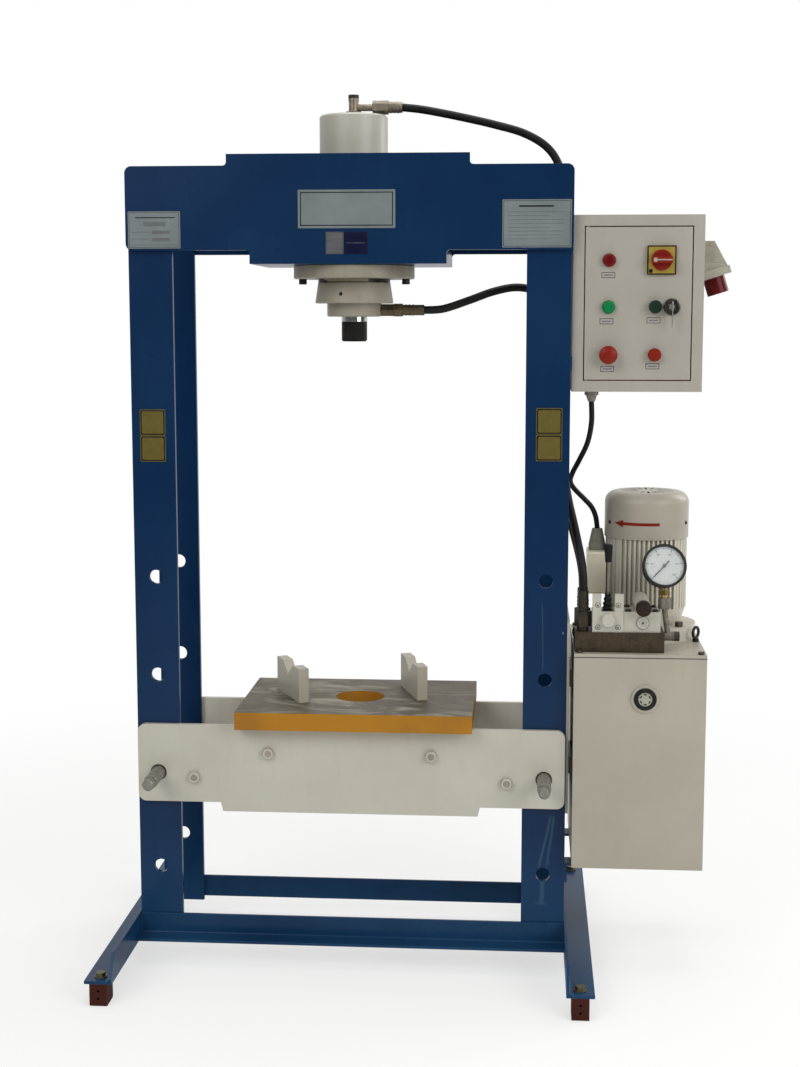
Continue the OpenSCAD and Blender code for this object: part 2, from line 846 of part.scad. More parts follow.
module bezel(col, row, h = bezel_h) {
    translate(on_door(col, row)) difference() {
        union() {
            rod_forward([0, 0, 0], bezel_d, h);
            rod_forward([0, door_fold, 0], panel_hole_d, door_fold);
            block([-contact_w / 2, door_fold, -contact_h / 2], [contact_w / 2, door_fold + contact_l,
                contact_h / 2]);
        }
        rod_forward([0, stem_l, 0], stem_d + 2 * run_gap, stem_l + h + cut_over);
    }
}

module button_bezels() color("#3a3a3c") place() {
    bezel(button_col, row_two);
    bezel(button_col, row_three);
    bezel(lamp_col, row_three, tall_bezel_h);
}

module push_button(row) {
    translate(on_door(button_col, row)) {
        back = bezel_h + push_travel + rest_gap;
        translate([0, -back, 0]) rotate([90, 0, 0]) rotate_extrude() polygon([
            [0, 0], [cap_d / 2, 0], [cap_d / 2, cap_h - cap_edge], [cap_d / 2 - cap_edge, cap_h], [0, cap_h]
        ]);
        rod_forward([0, stem_l - stem_room, 0], stem_d, stem_l - stem_room + back + cut_over);
    }
}

module start_button() color("#1f5a3a") place() push_button(row_two);
module stop_button() color("#c23a22") place() push_button(row_three);

module emergency_button() color(red) place() translate(on_door(lamp_col, row_three)) {
    translate([0, -mushroom_neck_h, 0]) rotate([90, 0, 0]) rotate_extrude() intersection() {
        translate([0, mushroom_h - mushroom_d]) circle(r = mushroom_d, $fn = 128);
        square([mushroom_d / 2, mushroom_h]);
    }
    rod_forward([0, stem_l - stem_room, 0], stem_d, stem_l - stem_room + mushroom_neck_h + cut_over);
}

// Lock and key: the key turns with the lock's round plug
lock_rim_d = 36;
lock_rim_h = 4;
lock_l = 30;
plug_core_d = 12;
plug_core_l = 20;
key_t = 2;
key_blade_w = 7;
key_bow_d = 26;
key_neck = 5;
key_hole_d = 7;
spare_l = 30;
spare_w = 8;

module door_lock() color("#c8c8c6") place() translate(on_door(lock_col, row_two)) difference() {
    union() {
        rod_forward([0, 0, 0], lock_rim_d, lock_rim_h);
        rod_forward([0, lock_l, 0], lock_d, lock_l);
    }
    rod_forward([0, plug_core_l, 0], plug_core_d + 2 * run_gap, plug_core_l + lock_rim_h + cut_over);
}

module door_key() color("#b8b4a6") place() translate(on_door(lock_col, row_two)) {
    bow_y = -lock_rim_h - key_neck - key_bow_d / 2;
    rod_forward([0, plug_core_l - rest_gap, 0], plug_core_d, plug_core_l - rest_gap + lock_rim_h);
    translate([key_t / 2, 0, 0]) rotate([0, -90, 0]) linear_extrude(key_t) {
        translate([-key_blade_w / 2, bow_y]) square([key_blade_w, -bow_y]);
        difference() {
            translate([0, bow_y]) circle(d = key_bow_d);
            translate([0, bow_y - key_bow_d / 2 + key_hole_d]) circle(d = key_hole_d);
        }
        translate([-key_bow_d / 2 - spare_l, bow_y - spare_w / 2]) square([spare_l + spare_w, spare_w]);
    }
}

// Power inlet on the box's right side: a slanted hood with a rim, and a round inlet that points down
hood_w = 75;
hood_y = box_y0 + box_d / 2;
hood_up = 241;
hood_z = box_z0 + hood_up;
hood_h = 88;
hood_top_reach = 25;
hood_mid_reach = 54;
hood_mid_h = 36;
hood_rim_h = 20;
rim_proud = 4;
inlet_d = 48;
inlet_wall = 4;
inlet_l = 37;
inlet_tilt = atan(hood_rim_h / hood_reach);
inlet_mid_share = 0.45;
inlet_pins = 5;
inlet_pin_d = 6;
inlet_pin_circle_d = 26;
inlet_floor = 8;

module hood_part(w, outline) {
    translate([box_x1, hood_y + w / 2, hood_z]) rotate([90, 0, 0]) linear_extrude(w) polygon(outline);
}

module inlet_hood() color("#9b988c") place() {
    hood_part(hood_w, [
        [0, 0], [hood_reach - rim_proud, hood_rim_h], [hood_mid_reach, hood_mid_h], [hood_top_reach,
            hood_h], [0, hood_h]
    ]);
    hood_part(hood_w + 2 * rim_proud, [
        [0, 0], [hood_reach, hood_rim_h], [hood_mid_reach + rim_proud, hood_mid_h], [0, hood_rim_h]
    ]);
}

module power_inlet() color("#8e1f22") place()
    translate([box_x1 + hood_reach * inlet_mid_share, hood_y, hood_z + hood_rim_h * inlet_mid_share])
        rotate([0, 180 - inlet_tilt, 0]) {
            difference() {
                cylinder(d = inlet_d, h = inlet_l);
                translate([0, 0, inlet_floor]) cylinder(d = inlet_d - 2 * inlet_wall, h = inlet_l);
            }
            for (i = [0 : inlet_pins - 1]) rotate([0, 0, i * 360 / inlet_pins])
                translate([inlet_pin_circle_d / 2, 0, 0]) cylinder(d = inlet_pin_d,
                    h = inlet_l - inlet_floor);
        }

// Cable glands: under the control box, and the tapered one on the terminal box
gland_in = [46, 60];
gland_x = box_x0 + gland_in.x;
gland_y = box_y0 + gland_in.y;
gland_thread_d = 20;
gland_nut_af = 27;
gland_nut_h = 10;
gland_cone_d = 25;
gland_tip_d = 16;
gland_cone_h = 14;
sleeve_w = 40;
sleeve_top_w = 24;
sleeve_h = 50;

module cable_glands() color("#8f8e86") place() {
    translate([gland_x, gland_y, box_z0 + box_wall]) cylinder(d = gland_nut_af, h = gland_nut_h / 2);
    translate([gland_x, gland_y, box_z0 - cut_over]) cylinder(d = gland_thread_d,
        h = box_wall + 2 * cut_over);
    translate([gland_x, gland_y, box_z0 - gland_nut_h]) hex_prism(gland_nut_af, gland_nut_h);
    translate([gland_x, gland_y, box_z0 - gland_nut_h - gland_cone_h]) cylinder(d1 = gland_tip_d,
        d2 = gland_cone_d, h = gland_cone_h);
    translate([term_gland_x, motor_y, term_z1]) rotate_extrude()
        polygon([[0, 0], [sleeve_w / 2, 0], [sleeve_w / 2, sleeve_h / 4], [sleeve_top_w / 2, sleeve_h],
            [0, sleeve_h]]);
}

// Bars that carry the box, and lugs that carry the tank, on the right upright
bar_h = 32;
bar_in_share = 0.12;
lug_l = 32;
lug_t = 6;
lug_drop = 45;
lug_w = 44;

module side_brackets() color(blue) place() {
    for (z = [box_z0 + box_h * bar_in_share, box_top_z - box_h * bar_in_share - bar_h])
        block([post_x, -face_y, z], [box_x0, face_y, z + bar_h]);
    for (s = [0, 1]) mirror([0, s, 0]) {
        block([post_x, -face_y, tank_z - lug_t], [tank_x0 + lug_l, -face_y + lug_w, tank_z]);
        block([post_x, -face_y, tank_z - lug_drop], [post_x + lug_t, -face_y + lug_w, tank_z - lug_t]);
    }
}

// Tank with its lid and sight glass, and the plate on spacers by which it hangs on the upright
hang_t = 6;
hang_shares = [0.24, 1.15];
hang_low_z = tank_z + tank_h * hang_shares[0];
hang_top_z = tank_z + tank_h * hang_shares[1];
spacer_h = 40;
spacer_y_share = 0.55;
spacer_shares = [0.4, 0.82];

module tank_shell() color(white) place() difference() {
    union() {
        block([tank_x0, tank_y0, tank_z], [tank_x0 + tank_w, tank_y1, tank_top_z]);
        block([post_x, -face_y, hang_low_z], [post_x + hang_t, face_y, hang_top_z]);
        for (share = spacer_shares) translate([0, 0, tank_z + tank_h * share])
            block([post_x, -face_y * spacer_y_share, 0], [tank_x0 + tank_wall / 2, face_y * spacer_y_share,
                spacer_h]);
        difference() {
            rod_forward([sight_x, tank_y0, sight_z], sight_d + 2 * boss_wall, boss_h);
            rod_forward([sight_x, tank_y0 + cut_over, sight_z], sight_d + 2 * run_gap,
                boss_h + 2 * cut_over);
        }
    }
    block([tank_x0 + tank_wall, tank_y0 + tank_wall, tank_z + tank_wall],
        [tank_x0 + tank_w - tank_wall, tank_y1 - tank_wall, tank_top_z + cut_over]);
    rod_forward([sight_x, tank_y0 + tank_wall + cut_over, sight_z], sight_glass_d,
        tank_wall + 2 * cut_over);
}

sight_share = [0.54, 0.81];
sight_x = tank_x0 + tank_w * sight_share.x;
sight_z = tank_z + tank_h * sight_share.y;
sight_d = 50;
sight_glass_d = 32;
sight_h = 9;
sight_lip = 6;
sight_sink = 3;
boss_wall = 6;
boss_h = 4;

module tank_lid() color(white) place() block([tank_x0, tank_y0, tank_top_z], [tank_x0 + tank_w, tank_y1,
    lid_z]);

module sight_glass() color(black) place() translate([sight_x, tank_y0, sight_z]) {
    rotate([90, 0, 0]) rotate_extrude() polygon([
        [0, 0], [sight_d / 2, 0], [sight_d / 2, sight_h - sight_sink], [sight_d / 2 - sight_lip / 2,
            sight_h],
        [sight_glass_d / 2, sight_h], [sight_glass_d / 2, sight_h - sight_sink], [0, sight_h - sight_sink]
    ]);
    rod_forward([0, tank_wall, 0], sight_glass_d, tank_wall);
}

// Bolts of the frame, the cylinder flange, the lid and the motor's foot, and the lid's two lifting eyes
eye_d = 32;
eye_sink = 2;
eye_wire_d = 7;
eye_shank_d = 10;
eye_in = 10;
eye_share = 0.45;
eye_turn = 55;
lid_bolt_in = 12;
lid_bolt_head_d = 14;
lid_bolt_head_h = 6;
foot_screw_af = 17;
foot_screw_h = 11;
foot_screw_in = 13;

// A through bolt along Y with a hexagon head in front and a nut behind, for one bed bolt place
module bed_bolt(p) {
    head = bed_bolt_d * bolt_head_share;
    af = bed_bolt_d * bolt_af_share;
    rod_forward([p.x, plate_y + head + bolt_end, p.y], bed_bolt_d - pin_play,
        2 * plate_y + head + bolt_end);
    for (y = [-plate_y, plate_y + head])
        translate([p.x, y, p.y]) rotate([90, 0, 0]) hex_prism(af, head);
}

module foot_bolt() {
    translate([foot_bolt_x, foot_bolt_y, 0]) {
        translate([0, 0, block_h - tongue_t]) cylinder(d = foot_bolt_d - pin_play,
            h = tongue_t + foot_t + washer_t);
        translate([0, 0, block_h + foot_t]) cylinder(d = foot_bolt_af * washer_share, h = washer_t);
        translate([0, 0, block_h + foot_t + washer_t]) hex_prism(foot_bolt_af, foot_bolt_head);
    }
}

module frame_bolts() color(steel) place() {
    both_sides() {
        for (p = bed_bolts) bed_bolt(p);
        foot_bolt();
        mirror([0, 1, 0]) foot_bolt();
        translate([flange_bolt_x, 0, flange_z - flange_bolt_d]) {
            cylinder(d = flange_bolt_head_d, h = flange_bolt_d);
            cylinder(d = flange_bolt_d - pin_play, h = flange_bolt_d + flange_t + seat_t);
        }
    }
    for (x = [tank_x0 + lid_bolt_in, tank_x0 + tank_w - lid_bolt_in], y = [tank_y0 + lid_bolt_in,
        tank_y1 - lid_bolt_in])
        translate([x, y, lid_z]) cylinder(d = lid_bolt_head_d, h = lid_bolt_head_h);
    for (turn = [45 : 90 : 315])
        translate([motor_x, motor_y, lid_z + foot_flange_h]) rotate([0, 0, turn])
            translate([motor_foot_d / 2 - foot_screw_in, 0, 0]) hex_prism(foot_screw_af, foot_screw_h);
}

module eye_bolts() color(black) place()
    for (x = [tank_x0 + eye_in, tank_x0 + tank_w - eye_in])
        translate([x, tank_y0 + tank_d * eye_share, lid_z]) rotate([0, 0, eye_turn]) {
            cylinder(d = eye_shank_d * washer_share, h = eye_wire_d);
            translate([0, 0, eye_wire_d + eye_d / 2 - eye_sink]) rotate([90, 0, 0]) rotate_extrude()
                translate([(eye_d - eye_wire_d) / 2, 0]) circle(d = eye_wire_d, $fn = 24);
        }

// Manifold and what stands on it
manifold_in = 2;
manifold_back = 20;
manifold_x0 = tank_x0 + manifold_in;
manifold_x1 = manifold_x0 + manifold_w;
manifold_y0 = tank_y0 + manifold_back;
manifold_y1 = manifold_y0 + manifold_d;
manifold_z = lid_z + manifold_h;
hose_end_in = [18, 26, 68];
hose_end_x = manifold_x0 + hose_end_in[0];
hose_end_y = [manifold_y0 + hose_end_in[1], manifold_y0 + hose_end_in[2]];
end_nut_af = 32;
end_nut_h = 34;
end_ferrule_h = 46;
end_base_d = 24;
end_base_h = 10;
hose_end_z = manifold_z + end_base_h + end_nut_h + end_ferrule_h;

module manifold() color("#6f675b") place() block([manifold_x0, manifold_y0, lid_z], [manifold_x1,
    manifold_y1, manifold_z]);

// Gauge stem: a tee along X from the manifold's end, a leaning pipe, a nut and a brass neck
tee_d = 20;
tee_drop = 12;
tee_in = 30;
tee_z = manifold_z - tee_drop;
tee_y = manifold_y0 + tee_in;
tee_l = 20;
plug_d = 22;
plug_l = 15;
pipe_d = 13;
pipe_l = 64;
pipe_lean = 8;
stem_nut_af = 26;
stem_nut_h = 24;
neck_d = 16;
neck_l = 26;
pipe_x = manifold_x1 + tee_l / 2;
gauge_tilt = 18;
gauge_turn = 6;
gauge_depth = 34;
gauge_rim = 5;
gauge_face_in = 7;
gauge_x = pipe_x - pipe_l * sin(pipe_lean);
stem_top_z = tee_z + pipe_l * cos(pipe_lean) + stem_nut_h;

// Runs children in the gauge's own frame: face towards -Y, stem at its lower end
module gauge_frame() {
    translate([gauge_x, tee_y, stem_top_z]) rotate([-gauge_tilt, 0, gauge_turn])
        translate([0, 0, neck_l + gauge_d / 2 - gauge_rim]) children();
}

module manifold_fittings() color(steel) place() {
    for (y = hose_end_y) translate([hose_end_x, y, manifold_z]) {
        cylinder(d = end_base_d, h = end_base_h);
        translate([0, 0, end_base_h]) hex_prism(end_nut_af, end_nut_h);
        translate([0, 0, end_base_h + end_nut_h]) cylinder(d = ferrule_d, h = end_ferrule_h);
    }
    rod_right([manifold_x1, tee_y, tee_z], tee_d, tee_l);
    rod_right([manifold_x1 + tee_l, tee_y, tee_z], plug_d, plug_l);
    translate([pipe_x, tee_y, tee_z]) rotate([0, -pipe_lean, 0]) cylinder(d = pipe_d,
        h = pipe_l + pipe_d / 2);
    translate([gauge_x, tee_y, stem_top_z - stem_nut_h]) hex_prism(stem_nut_af, stem_nut_h);
    gauge_frame() translate([0, 0, -gauge_d / 2 - neck_l]) cylinder(d = neck_d, h = neck_l + gauge_rim);
}

needle_l = 36;
needle_tail = 16;
needle_w = 3;
needle_t = 1;
hub_d = 8;
spindle_d = 3;
spindle_l = 10;
needle_up = 3;
needle_turn = -135;

module gauge_case() color(black) place() gauge_frame() difference() {
    translate([0, gauge_depth / 2, 0]) rotate([90, 0, 0]) rotate_extrude() polygon([
        [0, 0], [gauge_d / 2 - gauge_rim, 0], [gauge_d / 2 - gauge_rim / 2, gauge_rim / 2],
        [gauge_d / 2 - gauge_rim / 2, gauge_depth - 2 * gauge_rim], [gauge_d / 2,
            gauge_depth - 2 * gauge_rim],
        [gauge_d / 2, gauge_depth], [gauge_d / 2 - gauge_rim, gauge_depth],
        [gauge_d / 2 - gauge_rim, gauge_depth - gauge_face_in], [0, gauge_depth - gauge_face_in]
    ]);
    rod_forward([0, -gauge_depth / 2 + gauge_face_in + spindle_l, 0], spindle_d + 2 * run_gap,
        spindle_l + cut_over);
    translate([0, 0, -gauge_d / 2 - gauge_rim]) cylinder(d = neck_d, h = 2 * gauge_rim);
}

module gauge_needle() color(black) place() gauge_frame()
    translate([0, -gauge_depth / 2 + gauge_face_in, 0]) rotate([0, needle_turn, 0]) {
        rod_forward([0, -needle_up + needle_t, 0], hub_d, needle_t * 2);
        block([-needle_w / 2, -needle_up, -needle_tail], [needle_w / 2, -needle_up + needle_t, needle_l]);
        rod_forward([0, spindle_l - rest_gap, 0], spindle_d, spindle_l + needle_up - rest_gap);
    }

// Directional valve: a body with a front plate, a spool cap, a ball seat and a lever with a rubber boot
valve_in = [38, 4];
valve_x0 = manifold_x0 + valve_in.x;
valve_w = 69;
valve_d = 62;
valve_h = 46;
valve_plate_t = 12;
valve_plate_h = 86;
valve_slot_w = 30;
valve_slot_h = 40;
valve_y0 = manifold_y0 + valve_in.y;
valve_mid_x = valve_x0 + valve_w / 2;
spool_d = 31;
spool_l = 14;
spool_z = 27;
spool_edge = 3;
ball_d = 16;
ball_z = manifold_z + valve_h;
ball_in = 24;
ball_y = valve_y0 + ball_in;
boot_d = 27;
boot_top_d = 15;
boot_up = 4.5;
boot_h = 32;
boot_folds = 3;
lever_d = 5.5;
lever_l = 129;
grip_d = 19;
grip_low_d = 14;
grip_l = 40;
grip_edge = 3;

module directional_valve() color(white) place() {
    difference() {
        union() {
            block([valve_x0, valve_y0 + valve_plate_t, manifold_z], [valve_x0 + valve_w,
                valve_y0 + valve_d, ball_z]);
            block([valve_x0, valve_y0, manifold_z], [valve_x0 + valve_w, valve_y0 + valve_plate_t,
                manifold_z + valve_plate_h]);
        }
        block([valve_mid_x - valve_slot_w / 2, valve_y0 - cut_over,
            manifold_z + valve_plate_h - valve_slot_h],
            [valve_mid_x + valve_slot_w / 2, valve_y0 + valve_plate_t + cut_over,
                manifold_z + valve_plate_h + cut_over]);
    }
    translate([valve_mid_x, valve_y0, manifold_z + spool_z]) rotate([90, 0, 0]) rotate_extrude() polygon([
        [0, 0], [spool_d / 2, 0], [spool_d / 2, spool_l - spool_edge], [spool_d / 2 - spool_edge,
            spool_l], [0, spool_l]
    ]);
    translate([valve_mid_x, ball_y, ball_z]) sphere(d = ball_d);
}

// The boot's folds as a zigzag outline from its foot to its top
boot_fold_share = 0.72;
boot_points = [for (i = [0 : 2 * boot_folds])
    let (r = boot_d / 2 + (boot_top_d - boot_d) / 2 * i / (2 * boot_folds))
    [r * (i % 2 == 0 ? 1 : boot_fold_share), boot_up + boot_h * i / (2 * boot_folds)]];

module valve_lever() color(black) place() translate([valve_mid_x, ball_y, ball_z]) difference() {
    union() {
        rotate_extrude() polygon(concat([[0, boot_up]], boot_points, [[0, boot_up + boot_h]]));
        cylinder(d = lever_d, h = lever_l);
        translate([0, 0, lever_l - grip_l / 2]) rotate_extrude() polygon([
            [0, 0], [grip_low_d / 2, 0], [grip_d / 2, grip_l - grip_edge], [grip_d / 2 - grip_edge,
                grip_l], [0, grip_l]
        ]);
    }
    sphere(d = ball_d + 2 * rest_gap);
}

// Relief valve: a block with a round housing along Y, a plug in its front and a knob on a stem
relief_x0 = valve_x0 + valve_w;
relief_w = 82;
relief_h = 46;
relief_d = 80;
relief_mid_share = 0.52;
relief_x = relief_x0 + relief_w * relief_mid_share;
housing_d = 36;
housing_l = 116;
housing_up = 12;
housing_front = 12;
relief_plug_d = 27;
relief_plug_l = 4;
relief_plug_z = 22;
relief_knob_d = 35;
relief_knob_l = 18;
relief_stem_d = 10;
relief_stem_l = 16;
relief_screw_d = 14;
relief_screw_h = 8;
relief_screw_in = 11;
relief_z = manifold_z + relief_h + housing_up;
relief_in = 2;
relief_y0 = valve_y0 + relief_in;

module relief_valve() color(white) place() difference() {
    union() {
        block([relief_x0, relief_y0, manifold_z], [relief_x0 + relief_w, relief_y0 + relief_d,
            manifold_z + relief_h]);
        rod_forward([relief_x, relief_y0 - housing_front + housing_l, relief_z], housing_d, housing_l);
        rod_forward([relief_x, relief_y0, manifold_z + relief_plug_z], relief_plug_d, relief_plug_l);
    }
    for (x = [relief_x0 + relief_screw_in, relief_x0 + relief_w - relief_screw_in],
            y = [relief_y0 + relief_screw_in, relief_y0 + relief_d - relief_screw_in])
        translate([x, y, manifold_z + relief_h - relief_screw_h]) cylinder(d = relief_screw_d,
            h = relief_screw_h + cut_over);
    rod_forward([relief_x, relief_y0 - housing_front + relief_stem_l, relief_z],
        relief_stem_d + 2 * run_gap, relief_stem_l + cut_over);
}

module relief_knob() color(black) place() translate([relief_x, relief_y0 - housing_front - rest_gap,
    relief_z]) {
    rotate([90, 0, 0]) rotate_extrude() polygon([
        [0, 0], [relief_knob_d / 2, 0], [relief_knob_d / 2, relief_knob_l - grip_edge],
        [relief_knob_d / 2 - grip_edge, relief_knob_l], [0, relief_knob_l]
    ]);
    rod_forward([0, relief_stem_l - 2 * rest_gap, 0], relief_stem_d, relief_stem_l);
}

// Motor: foot flange, end bell, finned body, fan under a slotted cover, terminal box
motor_in = [171, 240];
motor_x = tank_x0 + motor_in.x;
motor_y = tank_y0 + motor_in.y;
foot_flange_h = 34;
bell_h = 40;
bell_d = 160;
motor_core_share = 0.92;
fin_pitch = 10.4;
fin_t = 4.6;
fin_side = 6;
motor_top_z = lid_z + motor_h;
cover_z = motor_top_z - cover_h;
cover_wall = 2;
cover_round = 26;
cover_lap = 12;
cover_play = 2;
cover_d = motor_d + 2 * cover_wall + cover_play;
cover_slots = 20;
slot_w = 6;
slot_in_r = 26;
slot_out_r = 62;
fan_d = 150;
fan_hub_d = 40;
fan_h = 34;
fan_plate_t = 3;
fan_blades = 7;
shaft_d = 24;
shaft_l = 60;
fan_gap = 12;

// Fins run parallel to X or Y within the round outline
module fin_section() {
    circle(d = motor_d * motor_core_share);
    intersection() {
        circle(d = motor_d);
        for (turn = [0, 90], i = [-fin_side : fin_side]) rotate(turn) translate([i * fin_pitch, 0])
            square([fin_t, motor_d], center = true);
    }
}

module motor_body() color("#a9a69b") place() translate([motor_x, motor_y, 0]) difference() {
    fins_z = lid_z + foot_flange_h + bell_h;
    union() {
        translate([0, 0, lid_z]) cylinder(d = motor_foot_d, h = foot_flange_h);
        translate([0, 0, lid_z + foot_flange_h]) rotate_extrude()
            polygon([[0, 0], [bell_d / 2, 0], [motor_d / 2, bell_h], [0, bell_h]]);
        translate([0, 0, fins_z]) linear_extrude(cover_z - fins_z) fin_section();
        translate([0, 0, cover_z]) cylinder(d = cover_d - 2 * cover_wall, h = cover_lap);
    }
    translate([0, 0, cover_z + cover_lap - shaft_l]) cylinder(d = shaft_d + 2 * run_gap,
        h = shaft_l + cut_over);
}

module cover_outline(inset) {
    r = cover_d / 2 - inset;
    h = cover_h - inset;
    round = cover_round - inset;
    square([r, h - round]);
    square([r - round, h]);
    translate([r - round, h - round]) circle(r = round);
}

module fan_cover() color(white) place() translate([motor_x, motor_y, cover_z]) difference() {
    rotate_extrude() difference() {
        intersection() {
            cover_outline(0);
            square([cover_d, cover_h]);
        }
        intersection() {
            cover_outline(cover_wall);
            square([cover_d, cover_h]);
        }
    }
    for (i = [0 : cover_slots - 1]) rotate([0, 0, i * 360 / cover_slots])
        translate([slot_in_r, -slot_w / 2, cover_h - 2 * cover_wall]) cube([slot_out_r - slot_in_r,
            slot_w, 4 * cover_wall]);
}

module motor_fan() color(black) place() translate([motor_x, motor_y, cover_z + cover_lap]) {
    translate([0, 0, fan_gap]) {
        cylinder(d = fan_d, h = fan_plate_t);
        cylinder(d = fan_hub_d, h = fan_h);
        for (i = [0 : fan_blades - 1]) rotate([0, 0, i * 360 / fan_blades])
            translate([fan_hub_d / 4, -fan_plate_t / 2, fan_plate_t / 2])
                cube([fan_d / 2 - fan_hub_d / 4 - fan_plate_t, fan_plate_t, fan_h - fan_plate_t]);
    }
    translate([0, 0, -shaft_l + cut_over]) cylinder(d = shaft_d, h = shaft_l + fan_gap);
}

term_w = 46;
term_d = 100;
term_h = 98;
term_r = 5;
term_drop = 34;
term_sink = 3;
term_z1 = cover_z - term_drop;
term_x1 = motor_x - motor_d / 2 + term_sink;
term_gland_x = term_x1 - term_w / 2;
term_seat_w = 84;

module terminal_box() color(white) place() difference() {
    union() {
        translate([term_x1, motor_y, term_z1 - term_h / 2]) rotate([0, -90, 0]) linear_extrude(term_w)
            round_rect(term_h, term_d, term_r);
        block([term_x1, motor_y - term_seat_w / 2, term_z1 - term_h + term_r],
            [motor_x, motor_y + term_seat_w / 2, term_z1 - term_r]);
    }
    translate([motor_x, motor_y, term_z1 - term_h - cut_over])
        cylinder(d = motor_d + 2 * run_gap, h = term_h + 2 * cut_over);
}

// Hoses and cable: tubes swept along hand-chosen points, closed by flat ends
tube_sides = 10;
function unit(v) = v / norm(v);
function path_dir(p, i) = unit(p[i + 1] - p[i - 1]);
function side_of(d) = unit(cross(d, abs(d.y) < 0.9 ? [0, 1, 0] : [1, 0, 0]));
function ring(p, d, r) = let (u = side_of(d), v = cross(d, u))
    [for (k = [0 : tube_sides - 1]) p + r * (u * cos(360 * k / tube_sides)
        + v * sin(360 * k / tube_sides))];

// A smooth curve through the points: a few steps for each span, by the usual cubic rule
curve_steps = 2;
function curve_at(a, b, c, d, t) = 0.5 * (2 * b + (c - a) * t + (2 * a - 5 * b + 4 * c - d) * t * t
    + (3 * b - a - 3 * c + d) * t * t * t);
function curve(p) = [
    for (i = [0 : len(p) - 2], s = [0 : curve_steps - 1])
        curve_at(p[max(i - 1, 0)], p[i], p[i + 1], p[min(i + 2, len(p) - 1)], s / curve_steps),
    p[len(p) - 1]
];

// A tube of diameter d along the route, its two ends square to the given directions
module tube(route, d, start_dir, end_dir) {
    p = curve(route);
    n = len(p);
    dirs = [for (i = [0 : n - 1]) i == 0 ? start_dir : i == n - 1 ? end_dir : path_dir(p, i)];
    points = [for (i = [0 : n - 1]) each ring(p[i], dirs[i], d / 2)];
    sides = [for (i = [0 : n - 2], k = [0 : tube_sides - 1])
        let (a = i * tube_sides + k, b = i * tube_sides + (k + 1) % tube_sides)
        [a, b, b + tube_sides, a + tube_sides]];
    first = [[for (k = [tube_sides - 1 : -1 : 0]) k]];
    last = [[for (k = [0 : tube_sides - 1]) (n - 1) * tube_sides + k]];
    polyhedron(points, concat(first, sides, last));
}

upper_route = [
    hose_start, [160, 0, 1945], [240, -2, 1929], [320, -6, 1910], [385, -10, 1890], [436, -15, 1858],
    [464, -19, 1812], [472, -22, 1750], [471, -22, 1610], [470, -22, 1460], [470, -22, 1310],
    [474, -27, 1190], [488, -42, 1090], [506, -76, 1010], [519, -104, 950], [524, -116, 912],
    [hose_end_x, hose_end_y[0], hose_end_z]
];
lower_route = [
    low_hose_start, [204, 0, 1503], [262, 4, 1522], [318, 10, 1542], [370, 16, 1551], [416, 20, 1541],
    [448, 23, 1510], [460, 24, 1466], [461, 24, 1400], [460, 22, 1290], [464, 15, 1190], [480, 0, 1090],
    [500, -32, 1010], [516, -60, 950], [523, -74, 912], [hose_end_x, hose_end_y[1], hose_end_z]
];
cable_route = [
    [gland_x, gland_y, box_z0 - gland_nut_h - gland_cone_h], [540, -58, 1250], [532, -46, 1203],
    [515, -22, 1162], [501, 8, 1130], [497, 38, 1107], [507, 59, 1088], [528, 71, 1066], [548, 75, 1044],
    [558, 75, 1021], [term_gland_x, motor_y, term_z1 + sleeve_h]
];

module upper_hose() color(black) place() tube(upper_route, hose_d, [1, 0, 0], [0, 0, -1]);
module lower_hose() color(black) place() tube(lower_route, hose_d, [1, 0, 0], [0, 0, -1]);
module motor_cable() color(black) place() tube(cable_route, cable_d, [0, 0, -1], [0, 0, -1]);

post_left_front();
post_left_rear();
post_right_front();
post_right_rear();
head_front_plate();
head_rear_plate();
cylinder_seat();
foot_beams();
cross_angles();
foot_blocks();
frame_bolts();
side_brackets();
bed_plates();
bed_spacers();
pin_left();
pin_right();
table_plate();
v_blocks();
cylinder_barrel();
cylinder_flange();
ring_nut();
tapered_collar();
rod_gland();
piston_rod();
ram_nose();
cylinder_fittings();
upper_hose();
lower_hose();
motor_cable();
box_shell();
box_door();
switch_plate();
switch_knob();
power_lamp();
pump_lamp();
button_bezels();
start_button();
stop_button();
emergency_button();
door_lock();
door_key();
inlet_hood();
power_inlet();
cable_glands();
tank_shell();
tank_lid();
eye_bolts();
sight_glass();
manifold();
manifold_fittings();
directional_valve();
valve_lever();
relief_valve();
relief_knob();
gauge_case();
gauge_needle();
motor_body();
fan_cover();
motor_fan();
terminal_box();
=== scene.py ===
import math

import bmesh
import bpy
from mathutils import Matrix, Vector


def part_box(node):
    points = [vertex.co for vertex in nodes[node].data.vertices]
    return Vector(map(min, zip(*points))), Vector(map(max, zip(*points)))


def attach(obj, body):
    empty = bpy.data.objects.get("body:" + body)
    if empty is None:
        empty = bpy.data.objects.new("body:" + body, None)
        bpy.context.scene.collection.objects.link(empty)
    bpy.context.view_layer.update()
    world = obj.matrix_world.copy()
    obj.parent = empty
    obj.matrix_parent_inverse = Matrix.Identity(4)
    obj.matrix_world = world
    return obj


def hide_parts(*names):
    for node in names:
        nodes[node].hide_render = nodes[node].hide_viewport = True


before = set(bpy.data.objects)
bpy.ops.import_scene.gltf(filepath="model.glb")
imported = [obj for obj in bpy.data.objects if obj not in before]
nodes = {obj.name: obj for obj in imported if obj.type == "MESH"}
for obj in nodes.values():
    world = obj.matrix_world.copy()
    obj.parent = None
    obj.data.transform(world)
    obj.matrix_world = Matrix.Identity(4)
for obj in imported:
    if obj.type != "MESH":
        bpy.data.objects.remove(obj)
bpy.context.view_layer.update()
scene = bpy.context.scene
scene.view_settings.view_transform = "Standard"

